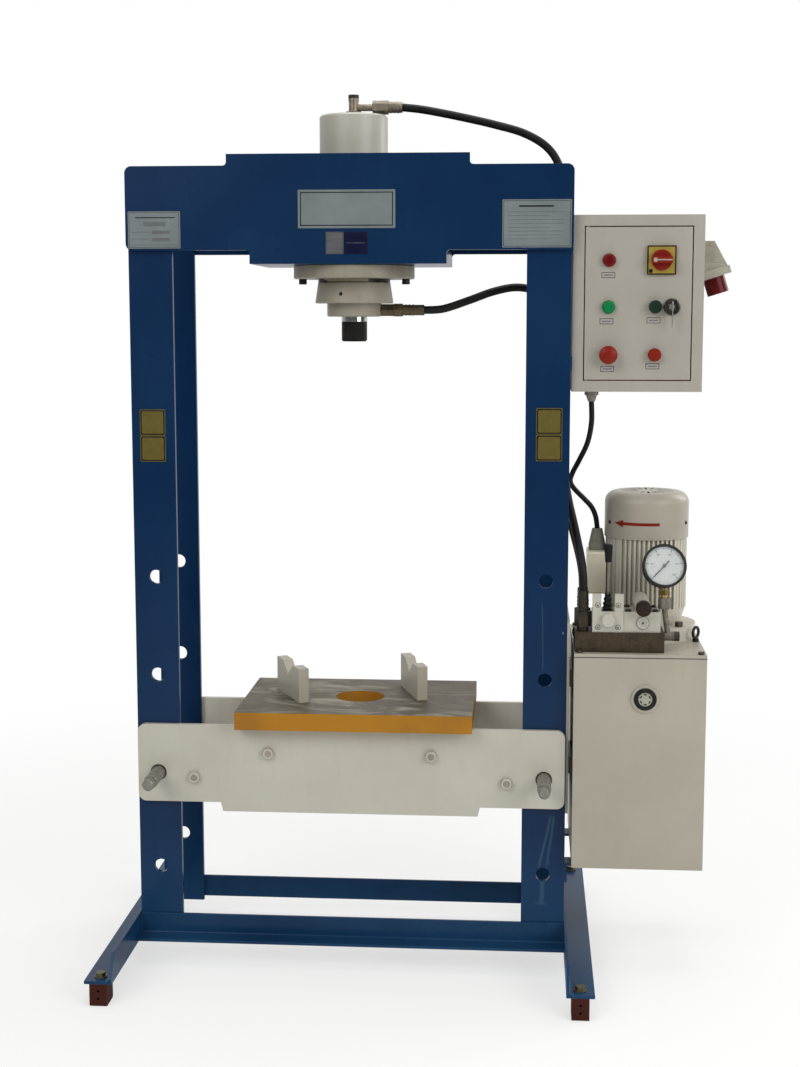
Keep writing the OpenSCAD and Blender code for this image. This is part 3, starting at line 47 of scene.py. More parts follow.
mm = 0.001
rodLow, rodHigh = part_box("piston_rod")
ramX = (rodLow.x + rodHigh.x) / 2  # the ram's axis, from which places are counted
front = Vector((0, -1, 0))
up = Vector((0, 0, 1))


def at(x, y, z):  # millimetres from the ram's axis and the floor
    return Vector((ramX + x * mm, y * mm, z * mm))


def rgb(code):  # sRGB hex to linear
    parts = [int(code[i : i + 2], 16) / 255 for i in (1, 3, 5)]
    linear = [c / 12.92 if c <= 0.04045 else ((c + 0.055) / 1.055) ** 2.4 for c in parts]
    return (*linear, 1.0)


def feed(tree, node, sets=None, links=None):  # values and links into a node's sockets
    for socket, value in (sets or {}).items():
        node.inputs[socket].default_value = value
    for socket, source in (links or {}).items():
        tree.links.new(source, node.inputs[socket])


def add(tree, kind, sets=None, links=None, **options):  # one node, its settings and its links
    node = tree.nodes.new("ShaderNode" + kind)
    for name, value in options.items():
        setattr(node, name, value)
    feed(tree, node, sets, links)
    return node


def newMaterial(look):
    mat = bpy.data.materials.new(look["name"])
    mat.use_nodes = True
    return mat, mat.node_tree, mat.node_tree.nodes["Principled BSDF"]


# Camera at the photograph's angle, for an image of 800 by 1067
cameraLook = {"place": (0.248, -3.8593, 1.4834), "yaw": 0.0745, "pitch": -0.1277, "lens": 56.78}


def setCamera(look):
    data = bpy.data.cameras.new("photoCamera")
    data.lens = look["lens"]
    camera = bpy.data.objects.new("photoCamera", data)
    scene.collection.objects.link(camera)
    aim = Vector((-math.sin(look["yaw"]) * math.cos(look["pitch"]),
                  math.cos(look["yaw"]) * math.cos(look["pitch"]), math.sin(look["pitch"])))
    camera.location = look["place"]
    camera.rotation_euler = aim.to_track_quat("-Z", "Y").to_euler()
    scene.camera = camera


setCamera(cameraLook)
print("camera set")


# Plain soft studio: the camera sees white all round, the part sees a pale room that is dimmer in front
studioLook = {
    "roomFront": 0.14, "roomBack": 0.7, "roomTop": 0.45, "mirrored": 0.4,
    "floorRadius": 5.0, "floor": "#efefed", "floorGlow": 0.6,
    "lamps": [
        # name, place, aim, size, watts
        ("keyLamp", (-2.6, -4.2, 3.9), (0.1, 0.0, 1.0), (3.0, 3.0), 118),
        ("fillLamp", (3.4, -3.2, 2.6), (0.1, 0.0, 1.0), (2.8, 2.8), 104),
        ("topLamp", (0.2, 0.2, 4.6), (0.1, 0.0, 1.0), (2.4, 1.8), 60),
        ("sideLamp", (3.2, 1.8, 2.8), (0.1, 0.0, 1.0), (1.4, 2.4), 50),
    ],
}


def lightStudio(look):
    world = bpy.data.worlds.new("paleRoom")
    world.use_nodes = True
    scene.world = world
    tree = world.node_tree
    sky = tree.nodes["Background"]
    sky.inputs["Color"].default_value = (1, 1, 1, 1)
    axes = add(tree, "SeparateXYZ", links={0: add(tree, "TexCoord").outputs["Generated"]})
    depth = add(tree, "MapRange", {1: -0.6, 2: 0.6, 3: look["roomFront"], 4: look["roomBack"]},
                {0: axes.outputs["Y"]}, interpolation_type="SMOOTHSTEP")
    room = add(tree, "MapRange", {1: 0.2, 2: 0.9, 4: look["roomTop"]}, {0: axes.outputs["Z"], 3: depth.outputs[0]})
    ray = add(tree, "LightPath")
    seen = add(tree, "Math", links={0: ray.outputs["Is Camera Ray"], 1: ray.outputs["Is Transmission Ray"]},
               operation="MAXIMUM")
    behind = add(tree, "MapRange", {1: 0.1, 2: 0.7, 4: look["mirrored"]}, {0: axes.outputs["Y"]})
    mirrored = add(tree, "Math", links={0: ray.outputs["Is Glossy Ray"], 1: behind.outputs[0]},
                   operation="MULTIPLY")
    shown = add(tree, "Math", links={0: seen.outputs[0], 1: mirrored.outputs[0]}, operation="MAXIMUM")
    level = add(tree, "Mix", {3: 1.0}, {0: shown.outputs[0], 2: room.outputs[0]}, data_type="FLOAT")
    tree.links.new(level.outputs[0], sky.inputs["Strength"])
    for name, place, aim, size, watts in look["lamps"]:
        data = bpy.data.lights.new(name, "AREA")
        data.shape = "RECTANGLE"
        data.size, data.size_y = size
        data.energy = watts
        lamp = bpy.data.objects.new(name, data)
        lamp.location = place
        lamp.rotation_euler = (Vector(aim) - Vector(place)).to_track_quat("-Z", "Y").to_euler()
        scene.collection.objects.link(lamp)


def layFloor(look):
    # Matt painted board: pale and even, keeps the shadow, and fades to white away from the object
    mat, tree, shader = newMaterial({"name": "mattPaintedBoard"})
    feed(tree, shader, {"Base Color": rgb(look["floor"]), "Roughness": 0.9})
    spread = add(tree, "VectorMath", links={0: add(tree, "TexCoord").outputs["Object"]}, operation="LENGTH")
    fade = add(tree, "MapRange", {1: 0.9, 2: 3.0, 3: look["floorGlow"], 4: 1.0}, {0: spread.outputs["Value"]},
               interpolation_type="SMOOTHSTEP")
    share = add(tree, "Math", links={0: fade.outputs[0], 1: add(tree, "LightPath").outputs["Is Camera Ray"]},
                operation="MULTIPLY")
    glow = add(tree, "Emission", {"Strength": 1.0, "Color": (1, 1, 1, 1)})
    mixed = add(tree, "MixShader", links={0: share.outputs[0], 1: shader.outputs[0], 2: glow.outputs[0]})
    tree.links.new(mixed.outputs[0], tree.nodes["Material Output"].inputs["Surface"])
    bm = bmesh.new()
    bmesh.ops.create_circle(bm, cap_ends=True, segments=96, radius=look["floorRadius"])
    mesh = bpy.data.meshes.new("floor")
    bm.to_mesh(mesh)
    bm.free()
    mesh.materials.append(mat)
    floor = bpy.data.objects.new("floor", mesh)
    scene.collection.objects.link(floor)


lightStudio(studioLook)
layFloor(studioLook)
print("studio lit")


# Enamel and powder coat on steel: a thin even skin, paler on its sharp edges for rub wear and for painted highlight,
# with dust on its upper faces
def coatedSteel(look):
    mat, tree, shader = newMaterial(look)
    place = add(tree, "TexCoord").outputs["Object"]
    solid = add(tree, "NewGeometry")
    axes = add(tree, "SeparateXYZ", links={0: place}).outputs
    facing = add(tree, "SeparateXYZ", links={0: solid.outputs["Normal"]}).outputs["Z"]
    cloud, speck, peel = (
        add(tree, "TexNoise", {"Scale": 1 / (look[size] * mm), "Detail": detail}, {"Vector": place}).outputs[0]
        for size, detail in (("cloudMm", 4.0), ("speckMm", 3.0), ("peelMm", 2.0)))
    tall = add(tree, "Mapping", {"Scale": (1, 1, look["streakShare"])}, {"Vector": place}).outputs[0]
    streak = add(tree, "TexNoise", {"Scale": 1 / (look["streakMm"] * mm), "Detail": 5.0, "Roughness": 0.6},
                 {"Vector": tall}).outputs[0]
    body = add(tree, "Mix", {6: rgb(look["dark"]), 7: rgb(look["light"])},
               {0: add(tree, "MapRange", {1: 0.3, 2: 0.7}, {0: cloud}).outputs[0]}, data_type="RGBA").outputs[2]
    if "rear" in look:  # the plate behind is drawn paler as painted light, since the table and front plate shade it
        behind = add(tree, "MapRange", {1: -0.01, 2: 0.01, 4: 0.85}, {0: axes["Y"]}).outputs[0]
        body = add(tree, "Mix", {7: rgb(look["rear"])}, {0: behind, 6: body}, data_type="RGBA").outputs[2]
    soil = add(tree, "MapRange", {1: 0.52, 2: 0.78, 4: look["soil"]}, {0: streak}).outputs[0]
    soiled = add(tree, "Mix", {7: rgb(look["soilColour"])}, {0: soil, 6: body}, data_type="RGBA").outputs[2]
    drift = 30 * mm  # how far a run wanders
    wander = add(tree, "Math", {1: drift}, {0: cloud, 2: axes["X"]}, operation="MULTIPLY_ADD").outputs[0]
    for x, bottom, top, wide, strength, lean in look.get("runs", []):  # dried oil runs and scratches
        fade = min(12, (top - bottom) / 3)
        slant = add(tree, "Math", {1: -lean}, {0: axes["Z"], 2: wander}, operation="MULTIPLY_ADD").outputs[0]
        start = at(x - lean * bottom, 0, 0).x + drift / 2
        aside = add(tree, "Math", {1: start}, {0: slant}, operation="SUBTRACT").outputs[0]
        off = add(tree, "Math", {}, {0: aside}, operation="ABSOLUTE").outputs[0]
        run = add(tree, "MapRange", {1: wide / 2 * mm, 2: wide / 5 * mm, 4: strength}, {0: off},
                  interpolation_type="SMOOTHSTEP").outputs[0]
        for far, near in ((top + fade, top), (bottom - fade, bottom)):
            end = add(tree, "MapRange", {1: far * mm, 2: near * mm}, {0: axes["Z"]}).outputs[0]
            run = add(tree, "Math", {}, {0: run, 1: end}, operation="MULTIPLY").outputs[0]
        soiled = add(tree, "Mix", {7: rgb(look["runColour"])}, {0: run, 6: soiled}, data_type="RGBA").outputs[2]
    splash = 320 * mm  # floor dirt reaches this high
    low = add(tree, "MapRange", {1: splash, 2: 0.0, 4: look["lowSoil"]}, {0: axes["Z"]}).outputs[0]
    lowPatch = add(tree, "Math", links={0: low, 1: cloud}, operation="MULTIPLY").outputs[0]
    lowSoiled = add(tree, "Mix", {7: rgb(look["soilColour"])}, {0: lowPatch, 6: soiled}, data_type="RGBA").outputs[2]
    rounded = add(tree, "Bevel", {"Radius": look["edgeMm"] * mm}, samples=4).outputs[0]
    match = add(tree, "VectorMath", links={0: rounded, 1: solid.outputs["Normal"]},
                operation="DOT_PRODUCT").outputs["Value"]
    # Paler sharp edges: partly rub wear, partly a painted highlight where edges catch the lamps
    rim = add(tree, "MapRange", {1: 0.99, 2: 0.82, 4: look["edgeWearAndHighlight"]}, {0: match}).outputs[0]
    paleMarked = add(tree, "Math", {}, {0: rim, 1: add(tree, "MapRange", {1: 0.35, 2: 0.62}, {0: speck}).outputs[0]},
                 operation="MULTIPLY").outputs[0]
    edged = add(tree, "Mix", {7: rgb(look["edgeWearHighlightColour"])}, {0: paleMarked, 6: lowSoiled}, data_type="RGBA").outputs[2]
    dust = add(tree, "MapRange", {1: 0.75, 2: 1.0, 4: look["dust"]}, {0: facing}).outputs[0]
    dusty = add(tree, "Mix", {7: rgb(look["dustColour"])}, {0: dust, 6: edged}, data_type="RGBA").outputs[2]
    gloss = add(tree, "MapRange", {1: 0.3, 2: 0.7, 3: look["rough"] - 0.03, 4: look["rough"] + 0.05},
                {0: cloud}).outputs[0]
    skin = add(tree, "Bump", {"Strength": look["peel"], "Distance": 0.2 * mm}, {"Height": peel, "Normal": rounded})
    feed(tree, shader, {"Specular IOR Level": look["specular"]},
         {"Base Color": dusty, "Roughness": gloss, "Normal": skin.outputs[0]})
    return mat


blueLook = {
    "name": "sprayedBlueEnamel", "dark": "#0a2647", "light": "#0e2d4f", "soilColour": "#24567c", "soil": 0.04,
    "lowSoil": 0.65, "edgeWearHighlightColour": "#4c6a88", "edgeWearAndHighlight": 0.5, "dust": 0.12, "dustColour": "#27435f",
    "cloudMm": 260, "streakMm": 22, "streakShare": 0.12, "speckMm": 9, "edgeMm": 2.0, "peelMm": 5, "peel": 0.07,
    "rough": 0.24, "specular": 0.15,
}  # peel of sprayed enamel is about 2 mm, drawn coarser so that it shows
stainedBlueLook = {
    **blueLook, "name": "oilStainedBlueEnamel", "runColour": "#466672",
    # x, bottom, top, width, strength, lean
    "runs": [(434.6, 703, 840, 1.8, 0.5, 0), (432, 246, 352, 8, 0.3, 0.19), (449, 246, 352, 8, 0.26, 0.1),
             (440, 160, 206, 14, 0.34, 0), (440, 151, 155, 36, 0.26, 0), (477.8, 780, 784, 5, 1.0, 0)],
}
whiteLook = {
    "name": "warmWhitePowderCoat", "dark": "#aeab9e", "light": "#b7b4a8", "soilColour": "#968d7a", "soil": 0.16,
    "lowSoil": 0.4, "edgeWearHighlightColour": "#dddbd2", "edgeWearAndHighlight": 0.5, "dust": 0.25, "dustColour": "#a49d8b",
    "cloudMm": 180, "streakMm": 18, "streakShare": 0.2, "speckMm": 7, "edgeMm": 1.6, "peelMm": 4, "peel": 0.2,
    "rough": 0.34, "specular": 0.35,
}
# The rear colour is painted light on the rear bed plate, which the table shades
bedLook = {**whiteLook, "name": "bedPowderCoat", "dark": "#b3b0a3", "light": "#bbb8ac", "rear": "#dedacc"}
unitWhiteLook = {**whiteLook, "name": "greyWhitePowderCoat", "dark": "#9f998b", "light": "#a8a294"}
boxWhiteLook = {**whiteLook, "name": "paleGreyPowderCoat", "dark": "#9d988e", "light": "#a5a096"}
vBlockLook = {
    **whiteLook, "name": "brushedWhitePrimer", "dark": "#9c9686", "light": "#a8a292", "soil": 0.08, "edgeMm": 1.2,
}
# Darker than the other white coats: oil dulling, and painted shade where the flange, collar and gland sit under the
# head
oilAndShadeWhiteLook = {
    **whiteLook, "name": "oilDulledAndShadedPowderCoat", "dark": "#888274", "light": "#969081", "soil": 0.4,
    "soilColour": "#6f6655", "rough": 0.46,
}
motorLook = {
    **whiteLook, "name": "castMotorGreyPaint", "dark": "#c0bbac", "light": "#cac5b6", "soil": 0.12, "dust": 0.25,
    "peel": 0.25, "rough": 0.5,
}
# Near white as painted light: the post keeps the lamps off the terminal box
litTerminalLook = {**whiteLook, "name": "paintedLightCreamPowderCoat", "dark": "#e6dec6", "light": "#ece4cd", "soil": 0.1}
footLook = {
    **blueLook, "name": "redBrownPrimer", "dark": "#36160f", "light": "#421c13", "soilColour": "#4a2f26",
    "soil": 0.3, "lowSoil": 0.3, "edgeWearHighlightColour": "#7a5a4c", "edgeWearAndHighlight": 0.3, "dustColour": "#5c463c", "rough": 0.6,
    "specular": 0.1,
}
frameBlue = coatedSteel(blueLook)
whiteCoat = coatedSteel(whiteLook)
oilAndShadeWhite = coatedSteel(oilAndShadeWhiteLook)


# Bare metals: machined or plated, with drawn tool marks and oil in the hollows
def bareMetal(look):
    mat, tree, shader = newMaterial(look)
    place = add(tree, "TexCoord").outputs["Object"]
    grain = add(tree, "Mapping", {"Scale": look["grain"]}, {"Vector": place}).outputs[0]
    marks = add(tree, "TexNoise", {"Scale": 1 / (look["markMm"] * mm), "Detail": 5.0, "Roughness": 0.65},
                {"Vector": grain}).outputs[0]
    cloud = add(tree, "TexNoise", {"Scale": 1 / (look["cloudMm"] * mm), "Detail": 4.0}, {"Vector": place}).outputs[0]
    share = add(tree, "MapRange", {1: 0.3, 2: 0.7}, {0: marks}).outputs[0]
    tone = add(tree, "Mix", {6: rgb(look["dark"]), 7: rgb(look["light"])}, {0: share}, data_type="RGBA").outputs[2]
    metal = None
    axes = add(tree, "SeparateXYZ", links={0: place}).outputs
    # Bands: another finish beyond a height or a width, as axis, start, dark, light, metallic
    for axis, start, dark, light, metallic in look.get("bands", []):
        edge = at(start, 0, 0).x if "X" in axis else start * mm
        side = "LESS_THAN" if axis[0] == "-" else "GREATER_THAN"
        above = add(tree, "Math", {1: edge}, {0: axes[axis[-1]]}, operation=side).outputs[0]
        band = add(tree, "Mix", {6: rgb(dark), 7: rgb(light)}, {0: share}, data_type="RGBA").outputs[2]
        tone = add(tree, "Mix", {}, {0: above, 6: tone, 7: band}, data_type="RGBA").outputs[2]
        under = {2: metal} if metal else {}
        metal = add(tree, "Mix", {2: look["metallic"], 3: metallic}, {0: above, **under}, data_type="FLOAT").outputs[0]
    film = add(tree, "MapRange", {1: 0.5, 2: 0.75, 4: look["film"]}, {0: cloud}).outputs[0]
    oiled = add(tree, "Mix", {7: rgb(look["filmColour"])}, {0: film, 6: tone}, data_type="RGBA").outputs[2]
    gloss = add(tree, "MapRange", {1: 0.3, 2: 0.7, 3: look["rough"], 4: look["rough"] + look["spread"]},
                {0: marks}).outputs[0]
    rounded = add(tree, "Bevel", {"Radius": look["edgeMm"] * mm}, samples=4).outputs[0]
    skin = add(tree, "Bump", {"Strength": look["relief"], "Distance": 0.1 * mm}, {"Height": marks, "Normal": rounded})
    feed(tree, shader, {"Metallic": look["metallic"], "Specular IOR Level": look["specular"]},
         {"Base Color": oiled, "Roughness": gloss, "Normal": skin.outputs[0]})
    if metal:
        feed(tree, shader, links={"Metallic": metal})
    return mat


zincLook = {
    "name": "zincPlatedSteel", "dark": "#8b8b87", "light": "#b4b3ad", "filmColour": "#6c675c", "film": 0.5,
    "grain": (1, 1, 1), "markMm": 6, "cloudMm": 30, "rough": 0.3, "spread": 0.2, "metallic": 0.85, "specular": 0.5,
    "edgeMm": 0.8, "relief": 0.15,
}
pinLook = {
    **zincLook, "name": "turnedMildSteel", "dark": "#727066", "light": "#929084", "grain": (1, 0.1, 1), "markMm": 4,
    "metallic": 0.55,
}
chromeLook = {
    **zincLook, "name": "hardChromedRod", "dark": "#b9bbba", "light": "#c8cac9", "film": 0.15, "filmColour": "#8b8478",
    "grain": (1, 1, 0.2), "rough": 0.15, "spread": 0.06, "metallic": 1.0, "relief": 0.04,
}
blackSteelLook = {
    **zincLook, "name": "blackOxideSteel", "dark": "#121112", "light": "#1d1c1b", "filmColour": "#2a2620",
    "rough": 0.42, "metallic": 0.3,
}
manifoldLook = {
    **zincLook, "name": "phosphatedManifoldSteel", "dark": "#352c1e", "light": "#4d412f", "filmColour": "#241d13",
    "film": 0.7, "rough": 0.37, "metallic": 0.5,
}
fittingLook = {
    **zincLook, "name": "oilDarkenedFittingSteel", "dark": "#2d2820", "light": "#463f33", "filmColour": "#211c14",
    "rough": 0.34, "metallic": 0.6,
    "bands": [("Z", 1400, "#453c2c", "#655a45", 0.6), ("Z", 1700, "#6e6658", "#968d7d", 0.8),
              ("Z", 1971, "#1c1814", "#2c2620", 0.4), ("X", 600, "#6a645a", "#8d877b", 0.7),
              ("X", 728, "#332e26", "#4b453a", 0.6)],
}  # brown at the manifold and the lower port, paler at the top port with its dark cap, grey at the gauge
boltLook = {
    **zincLook, "name": "mixedBoltFinishes", "dark": "#585440", "light": "#817b60", "film": 0.3, "rough": 0.34,
    "bands": [("Z", 300, "#a3a094", "#b1aea2", 0.0), ("Z", 700, "#3a3529", "#585143", 0.7),
              ("Z", 1400, "#141313", "#201f1e", 0.4)],
}  # yellow zinc on the feet, paint on the bed, dull steel on the lid, black under the head
leverLook = {
    **zincLook, "name": "rubberBootAndSteelRod", "dark": "#0c0c0c", "light": "#151515", "film": 0.0, "rough": 0.37,
    "metallic": 0.0, "bands": [("Z", 869.6, "#6c6a64", "#8b8982", 0.9), ("Z", 941.9, "#0c0b0c", "#141314", 0.0)],
    "specular": 0.2,
}
lockLook = {
    **chromeLook, "name": "dulledChrome", "dark": "#4b483f", "light": "#8a877c", "markMm": 7, "film": 0.7,
    "filmColour": "#3a362e", "spread": 0.2, "rough": 0.12,
}
ringNutShadeLook = {
    **zincLook, "name": "ringNutPaintedShadeSteel", "dark": "#16130e", "light": "#231f17", "filmColour": "#110e0a",
    "metallic": 0.2, "bands": [("Z", 1563.2, "#77705a", "#857e67", 0.0), ("-X", -61, "#1d1913", "#2b261c", 0.2),
                               ("X", 39, "#1d1913", "#2b261c", 0.2)],
}  # dark as painted shade under the flange and in the two spanner slots, with a paler bar between them as painted light on the lit front
noseLook = {
    **blackSteelLook, "name": "oiledBlackSteel", "dark": "#090808", "light": "#100f0e", "rough": 0.52, "metallic": 0.0,
    "specular": 0.2,
}
brassLook = {**zincLook, "name": "turnedBrass", "dark": "#6f5a2a", "light": "#9a8142", "rough": 0.26, "metallic": 1.0}
blackSteel = bareMetal(blackSteelLook)
manifoldSteel = bareMetal(manifoldLook)
brass = bareMetal(brassLook)
fittingSteel = bareMetal(fittingLook)
lockChrome = bareMetal(lockLook)


# Table plate: planed steel with pale rub marks on top, brushed yellow primer on its edges and in its hole
tableLook = {
    "name": "planedTableSteel", "dark": "#5b5446", "light": "#6d6657", "rub": "#bdb7a6", "stain": "#4a4032",
    "primer": "#a5721a", "primerDark": "#976620", "rough": 0.5, "specular": 0.2,
    "rubMm": 95, "stainMm": 130, "fineMm": 6,
}


def tableSteelMaterial(look):
    mat, tree, shader = newMaterial(look)
    place = add(tree, "TexCoord").outputs["Object"]
    facing = add(tree, "SeparateXYZ", links={0: add(tree, "NewGeometry").outputs["Normal"]}).outputs["Z"]
    stain = add(tree, "TexNoise", {"Scale": 1 / (look["stainMm"] * mm), "Detail": 6.0}, {"Vector": place}).outputs[0]
    swirl = add(tree, "Mapping", {"Rotation": (0, 0, 0.5), "Scale": (0.45, 1, 1)}, {"Vector": place}).outputs[0]
    rub = add(tree, "TexNoise", {"Scale": 1 / (look["rubMm"] * mm), "Detail": 5.0, "Roughness": 0.6, "Distortion": 1.4},
              {"Vector": swirl}).outputs[0]
    fine = add(tree, "TexNoise", {"Scale": 1 / (look["fineMm"] * mm), "Detail": 4.0}, {"Vector": place}).outputs[0]
    steel = add(tree, "Mix", {6: rgb(look["dark"]), 7: rgb(look["light"])},
                {0: add(tree, "MapRange", {1: 0.3, 2: 0.7}, {0: fine}).outputs[0]}, data_type="RGBA").outputs[2]
    stained = add(tree, "Mix", {7: rgb(look["stain"])},
                  {0: add(tree, "MapRange", {1: 0.5, 2: 0.72, 4: 0.7}, {0: stain}).outputs[0], 6: steel},
                  data_type="RGBA").outputs[2]
    paleMarked = add(tree, "Mix", {7: rgb(look["rub"])},
                 {0: add(tree, "MapRange", {1: 0.5, 2: 0.72, 4: 0.8}, {0: rub}).outputs[0], 6: stained},
                 data_type="RGBA").outputs[2]
    primer = add(tree, "Mix", {6: rgb(look["primer"]), 7: rgb(look["primerDark"])},
                 {0: add(tree, "MapRange", {1: 0.4, 2: 0.65}, {0: stain}).outputs[0]}, data_type="RGBA").outputs[2]
    flat = add(tree, "MapRange", {1: 0.5, 2: 0.8}, {0: facing}).outputs[0]
    tone = add(tree, "Mix", {}, {0: flat, 6: primer, 7: paleMarked}, data_type="RGBA").outputs[2]
    bare = add(tree, "MapRange", {1: 0.5, 2: 0.8, 4: 0.55}, {0: facing}).outputs[0]
    gloss = add(tree, "MapRange", {1: 0.3, 2: 0.7, 3: look["rough"] - 0.1, 4: look["rough"] + 0.12},
                {0: rub}).outputs[0]
    skin = add(tree, "Bump", {"Strength": 0.2, "Distance": 0.2 * mm}, {"Height": rub})
    feed(tree, shader, {"Specular IOR Level": look["specular"]},
         {"Base Color": tone, "Metallic": bare, "Roughness": gloss, "Normal": skin.outputs[0]})
    return mat


# Moulded plastics and rubber: even colour, faint flow marks and a satin skin
def moulded(look):
    mat, tree, shader = newMaterial(look)
    place = add(tree, "TexCoord").outputs["Object"]
    flow, fine = (
        add(tree, "TexNoise", {"Scale": 1 / (look[size] * mm), "Detail": detail}, {"Vector": place}).outputs[0]
        for size, detail in (("flowMm", 3.0), ("grainMm", 2.0)))
    tone = add(tree, "Mix", {6: rgb(look["dark"]), 7: rgb(look["light"])},
               {0: add(tree, "MapRange", {1: 0.3, 2: 0.7}, {0: flow}).outputs[0]}, data_type="RGBA").outputs[2]
    gloss = add(tree, "MapRange", {1: 0.3, 2: 0.7, 3: look["rough"] - 0.05, 4: look["rough"] + 0.08},
                {0: flow}).outputs[0]
    rounded = add(tree, "Bevel", {"Radius": 0.6 * mm}, samples=4).outputs[0]
    skin = add(tree, "Bump", {"Strength": look["relief"], "Distance": 0.1 * mm}, {"Height": fine, "Normal": rounded})
    feed(tree, shader, {"IOR": look["ior"], "Specular IOR Level": look["specular"]},
         {"Base Color": tone, "Roughness": gloss, "Normal": skin.outputs[0]})
    return mat


plasticLook = {"flowMm": 12, "grainMm": 1.5, "rough": 0.36, "ior": 1.5, "relief": 0.08, "specular": 0.16}


def plastic(name, dark, light, **more):
    return moulded({**plasticLook, "name": name, "dark": dark, "light": light, **more})


hoseRubber = plastic("braidedHoseRubber", "#0b0b0b", "#161615", flowMm=25, grainMm=2.0, rough=0.45, ior=1.52,
                     relief=0.3, specular=0.2)
redPlastic = plastic("mouldedRedPlastic", "#741a10", "#812015")
hoodPlastic = plastic("mouldedPaleGreyPlastic", "#999586", "#a6a293", rough=0.42)


# Which nodes take which finish
finishes = [
    (frameBlue, ["post_left_front", "post_left_rear", "post_right_rear", "head_front_plate", "head_rear_plate",
                 "cylinder_seat", "foot_beams", "cross_angles", "side_brackets"]),
    (coatedSteel(stainedBlueLook), ["post_right_front"]),
    (coatedSteel(footLook), ["foot_blocks"]),
    (whiteCoat, ["cylinder_barrel", "directional_valve", "relief_valve"]),
    (coatedSteel(bedLook), ["bed_plates"]),
    (coatedSteel(boxWhiteLook), ["box_shell", "box_door"]),
    (coatedSteel(unitWhiteLook), ["tank_shell", "tank_lid", "fan_cover"]),
    (coatedSteel(litTerminalLook), ["terminal_box"]),
    (coatedSteel(vBlockLook), ["v_blocks"]),
    (oilAndShadeWhite, ["cylinder_flange", "tapered_collar", "rod_gland"]),
    (bareMetal(ringNutShadeLook), ["ring_nut"]),
    (bareMetal(noseLook), ["ram_nose"]),
    (coatedSteel(motorLook), ["motor_body"]),
    (bareMetal(zincLook), ["bed_spacers", "door_key"]),
    (fittingSteel, ["cylinder_fittings", "manifold_fittings"]),
    (bareMetal(boltLook), ["frame_bolts"]),
    (bareMetal(leverLook), ["valve_lever"]),
    (lockChrome, ["door_lock"]),
    (plastic("mouldedBrownBlackPlastic", "#231a15", "#30251f"), ["relief_knob"]),
    (hoodPlastic, ["inlet_hood"]),
    (bareMetal(pinLook), ["pin_left", "pin_right"]),
    (tableSteelMaterial(tableLook), ["table_plate"]),
    (bareMetal(chromeLook), ["piston_rod"]),
    (blackSteel, ["eye_bolts"]),
    (manifoldSteel, ["manifold"]),
    (hoseRubber, ["upper_hose", "lower_hose", "motor_cable"]),
    (redPlastic, ["switch_knob", "stop_button", "emergency_button"]),
    (plastic("mouldedRedLens", "#5c0c0f", "#691012", rough=0.26), ["power_lamp"]),
    (plastic("mouldedGreenLens", "#0a6c3a", "#0d7742", rough=0.26), ["pump_lamp"]),
    (plastic("mouldedDarkGreenPlastic", "#16281d", "#1b3023"), ["start_button"]),
    (plastic("mouldedYellowPlastic", "#968339", "#a18e42"), ["switch_plate"]),
    (plastic("mouldedGreyPlastic", "#7f7c72", "#8f8c81", rough=0.45), ["button_bezels", "cable_glands"]),
    (plastic("mouldedBlackPlastic", "#161617", "#222223"), ["sight_glass", "gauge_case", "gauge_needle", "motor_fan"]),
    (plastic("mouldedDarkRedPlastic", "#4e1012", "#611617", rough=0.28), ["power_inlet"]),
]
for finish, names in finishes:
    for name in names:
        nodes[name].data.materials.clear()
        nodes[name].data.materials.append(finish)
print("finishes given")


# Hoses and cable: routes in millimetres from the ram's axis, smooth through their points
cords = [
    {"name": "upperHose", "node": "upper_hose", "thick": 18, "long": 1.355, "stiffness": "stiff", "points": [
        (110, 0, 1951), (160, 0, 1945), (240, -2, 1929), (320, -6, 1910), (385, -10, 1890), (436, -15, 1858),
        (464, -19, 1812), (472, -22, 1750), (471, -22, 1610), (470, -22, 1460), (470, -22, 1310), (474, -27, 1190),
        (488, -42, 1090), (506, -76, 1010), (519, -104, 950), (524, -116, 912), (525, -119, 877)]},
    {"name": "lowerHose", "node": "lower_hose", "thick": 18, "long": 0.969, "stiffness": "stiff", "points": [
        (160, 0, 1500), (204, 0, 1503), (262, 4, 1522), (318, 10, 1542), (370, 16, 1551), (416, 20, 1541),
        (448, 23, 1510), (460, 24, 1466), (461, 24, 1400), (460, 22, 1290), (464, 15, 1190), (480, 0, 1090),
        (500, -32, 1010), (516, -60, 950), (523, -74, 912), (525, -77, 877)]},
    {"name": "motorCable", "node": "motor_cable", "thick": 12, "long": 0.377, "stiffness": "medium", "points": [
        (539, -60.5, 1297), (540, -58, 1250), (532, -46, 1203), (515, -22, 1162), (501, 8, 1130), (497, 38, 1107),
        (507, 59, 1088), (528, 71, 1066), (548, 75, 1044), (558, 75, 1021), (562, 75, 994)]},
]


def runCord(look):
    points = [at(*p) for p in look["points"]]
    curve = bpy.data.curves.new(look["name"], "CURVE")
    curve.dimensions = "3D"
    curve.bevel_depth = look["thick"] / 2 * mm
    curve.bevel_resolution = 6
    curve.resolution_u = 10
    curve.use_fill_caps = True
    line = curve.splines.new("BEZIER")
    line.bezier_points.add(len(points) - 1)
    for i, knot in enumerate(line.bezier_points):
        reach = (points[min(i + 1, len(points) - 1)] - points[max(i - 1, 0)]) / 6
        knot.co, knot.handle_left, knot.handle_right = points[i], points[i] - reach, points[i] + reach
    curve.materials.append(hoseRubber)
    cord = bpy.data.objects.new(look["name"], curve)
    scene.collection.objects.link(cord)
    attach(cord, "frame")
    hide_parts(look["node"])


for look in cords:
    runCord(look)
print("hoses and cable run")


# Made pieces: small fittings, plates and marks that ride on the CAD bodies
def seat(point, along=front, twist=0.0):  # a piece's own millimetres, its Z pointing along
    aim = along.to_track_quat("Z", "Y").to_matrix().to_4x4()
    return Matrix.Translation(point) @ aim @ Matrix.Rotation(twist, 4, "Z") @ Matrix.Scale(mm, 4)


